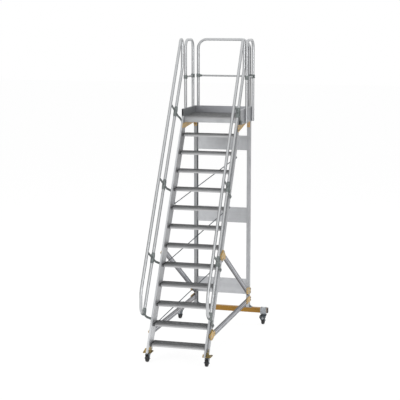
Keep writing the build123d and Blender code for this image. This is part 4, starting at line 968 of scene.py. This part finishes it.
# Leg feet, clamp bands of the rear castors and plates of the front castors
FOOT_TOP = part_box("rear_cross_beam")[1].z + 0.006
foot_bolts = grid_points(about(LEG_X, 0.045), about(LEG_Y, 0.018), (FOOT_TOP,))
MOUNT_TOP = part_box("rear_castor_mounts")[1].z
REAR_CASTOR_X, REAR_PLATE_Z = 0.640, 0.158
BAND_FRONT = LEG_Y - 0.034
band_xs = about(REAR_CASTOR_X, 0.034)
band_bolts = grid_points(band_xs, about(LEG_Y, 0.016), (MOUNT_TOP,))
band_front = grid_points(band_xs, (BAND_FRONT,), (REAR_PLATE_Z + 0.030, REAR_PLATE_Z + 0.066))
plate_bolts = grid_points(about(REAR_CASTOR_X, 0.037), about(LEG_Y, 0.028), (REAR_PLATE_Z,))
FRONT_CASTOR_X, FRONT_CASTOR_Y, FRONT_PLATE_Z, FRONT_PLATE = 0.407, FOOT_Y + 0.136, 0.126, 0.006
front_xs = about(FRONT_CASTOR_X, 0.044)
front_ys = (FRONT_CASTOR_Y - 0.034, FRONT_CASTOR_Y + 0.048)
front_bolts = grid_points(front_xs, front_ys, (FRONT_PLATE_Z,))
front_nuts = grid_points(front_xs, front_ys, (FRONT_PLATE_Z + FRONT_PLATE,))
CHEEK_BOLT_Z = (0.155, 0.186)
cheek_bolts = grid_points((STRINGER_OUTER + PLATE,), (FRONT_CASTOR_Y + 0.036,), CHEEK_BOLT_Z)
fasten(
    "base_bolts",
    "frame",
    "zinc",
    [
        (M8, *both_sides(foot_bolts + band_bolts + front_nuts, UPWARD)),
        (M8, *both_sides(plate_bolts + front_bolts, DOWNWARD)),
        (M8, *both_sides(band_front, FORWARD)),
        (M8, *both_sides(cheek_bolts)),
    ],
    37,
)

# Axle nuts on each castor, and the round boss on each rear pedal
HALF_WHEEL, FORK_GAP, FORK_PLATE, AXLE_HEAD = 0.018, 0.005, 0.003, 0.005
AXLE_REACH = HALF_WHEEL + FORK_GAP + FORK_PLATE + AXLE_HEAD
BOSS = dome_grid(0.035, 0.006, 28, 6, 0.008)
BOSS_LIFT, BOSS_RADIUS = math.radians(34), 0.074
BOSS_WAY = (0.0, -math.cos(BOSS_LIFT), math.sin(BOSS_LIFT))
for castor in CASTORS:
    hub_low, hub_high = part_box(f"{castor}_hub")
    centre = (hub_low + hub_high) / 2
    nuts = [(centre.x + AXLE_REACH, centre.y, centre.z), (centre.x - AXLE_REACH, centre.y, centre.z)]
    sets = [(M8, nuts, [(1, 0, 0), (-1, 0, 0)])]
    fasten(f"{castor}_axle_nuts", f"{castor}_fork", "steel", sets, 41)
    if castor.startswith("rear"):
        boss = (centre.x, centre.y + BOSS_RADIUS * BOSS_WAY[1], centre.z + BOSS_RADIUS * BOSS_WAY[2])
        sets = [(BOSS, [boss], [BOSS_WAY])]
        fasten(f"{castor}_pedal_boss", f"{castor}_fork", "zinc", sets, 43)


# Studio: pale floor and white surround, soft lamps, the camera

WHITE = (1.0, 1.0, 1.0, 1.0)


def backdrop_share(tree):
    """1 for rays from the camera or off glossy or clear surfaces, else 0."""
    path = node(tree, "ShaderNodeLightPath").outputs
    seen = maths(tree, "MAXIMUM", path["Is Camera Ray"], path["Is Glossy Ray"])
    return maths(tree, "MAXIMUM", seen, path["Is Transmission Ray"])


AMBIENT = 0.5
world = bpy.data.worlds.new("white surround")
bpy.context.scene.world = world
world.use_nodes = True
world_tree = world.node_tree
surround = world_tree.nodes["Background"]
strength = between(world_tree, backdrop_share(world_tree), 0.0, 1.0, AMBIENT, 1.0)
world_tree.links.new(strength, surround.inputs["Strength"])
surround.inputs["Color"].default_value = WHITE

FLOOR_HALF = 60.0
FLOOR_GLOW, GLOW_SHARE = 1.08, 0.86
floor_mesh = bpy.data.meshes.new("studio_floor")
corner = np.array((-1.0, 1.0)) * FLOOR_HALF
floor_mesh.from_pydata([(x, y, 0.0) for y in corner for x in corner], [], [(0, 1, 3, 2)])
floor = add_object("studio_floor", floor_mesh)
floor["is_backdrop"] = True
floor_material, floor_tree, floor_shader = new_material("pale studio floor")
grain = noise(floor_tree, object_vector(floor_tree), 3.0, 3.0)
pale = blend(floor_tree, grain, (0.86, 0.86, 0.86), (0.90, 0.90, 0.90))
fill(floor_tree, floor_shader, {"Base Color": pale, "Roughness": 0.9, "Specular IOR Level": 0.0})
glow = node(floor_tree, "ShaderNodeEmission", {"Color": WHITE, "Strength": FLOOR_GLOW})
share = times(floor_tree, backdrop_share(floor_tree), GLOW_SHARE)
mixed = node(floor_tree, "ShaderNodeMixShader", {0: share, 1: floor_shader.outputs[0], 2: glow.outputs[0]})
floor_tree.links.new(mixed.outputs[0], floor_tree.nodes["Material Output"].inputs["Surface"])
floor.data.materials.append(floor_material)

# Two dark cards beside and behind the object, which only its reflections show: they give the tubes
# their dark edges. Each is part of an upright cylinder round the object, between two compass angles.
CARD_RADIUS, CARD_HEIGHT, CARD_STEPS = 9.0, 7.0, 13
CARDS = (("flag_right", -20.0, 62.0), ("flag_left", 128.0, 210.0))
card_material, card_tree, card_shader = new_material("dark card")
weave = noise(card_tree, object_vector(card_tree), 40.0)
cloth = blend(card_tree, weave, (0.05, 0.05, 0.052), (0.07, 0.07, 0.072))
fill(card_tree, card_shader, {"Base Color": cloth, "Roughness": 0.9})
for name, first, last in CARDS:
    angle = np.radians(np.linspace(first, last, CARD_STEPS))
    rim = np.stack((CARD_RADIUS * np.cos(angle), CARD_RADIUS * np.sin(angle)), axis=-1)
    points = [(x, y, z) for z in (0.0, CARD_HEIGHT) for x, y in rim.tolist()]
    faces = [(i, i + 1, i + 1 + CARD_STEPS, i + CARD_STEPS) for i in range(CARD_STEPS - 1)]
    card_mesh = bpy.data.meshes.new(name)
    card_mesh.from_pydata(points, [], faces)
    card = add_object(name, card_mesh)
    card.data.materials.append(card_material)
    card.visible_camera = card.visible_diffuse = card.visible_shadow = False
    card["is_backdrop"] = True

# Lamps: name, place, size, power
LAMP_TARGET = Vector((0.0, 0.0, 1.9))
LAMPS = (
    ("key", (-7.0, -11.0, 8.0), 6.0, 620.0),
    ("fill", (10.0, -7.0, 5.0), 6.0, 300.0),
    ("top", (1.0, 5.0, 10.0), 6.0, 300.0),
)
for name, place, size, power in LAMPS:
    data = bpy.data.lights.new(name, "AREA")
    data.size, data.energy = size, power
    lamp = add_object(name, data)
    lamp.location = place
    lamp.rotation_mode = "QUATERNION"
    lamp.rotation_quaternion = (LAMP_TARGET - Vector(place)).to_track_quat("-Z", "Y")
    lamp.visible_camera = False
    lamp.visible_glossy = name == "fill"

camera_data = bpy.data.cameras.new("camera")
camera_data.lens = 108.39
camera_data.clip_end = 200.0
camera = add_object("camera", camera_data)
camera.location = (4.4083, -15.8095, 4.5822)
camera.rotation_euler = (math.radians(81.1), 0.0, math.radians(15.6))
bpy.context.scene.camera = camera
bpy.context.scene.view_settings.view_transform = "Standard"

low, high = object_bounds()
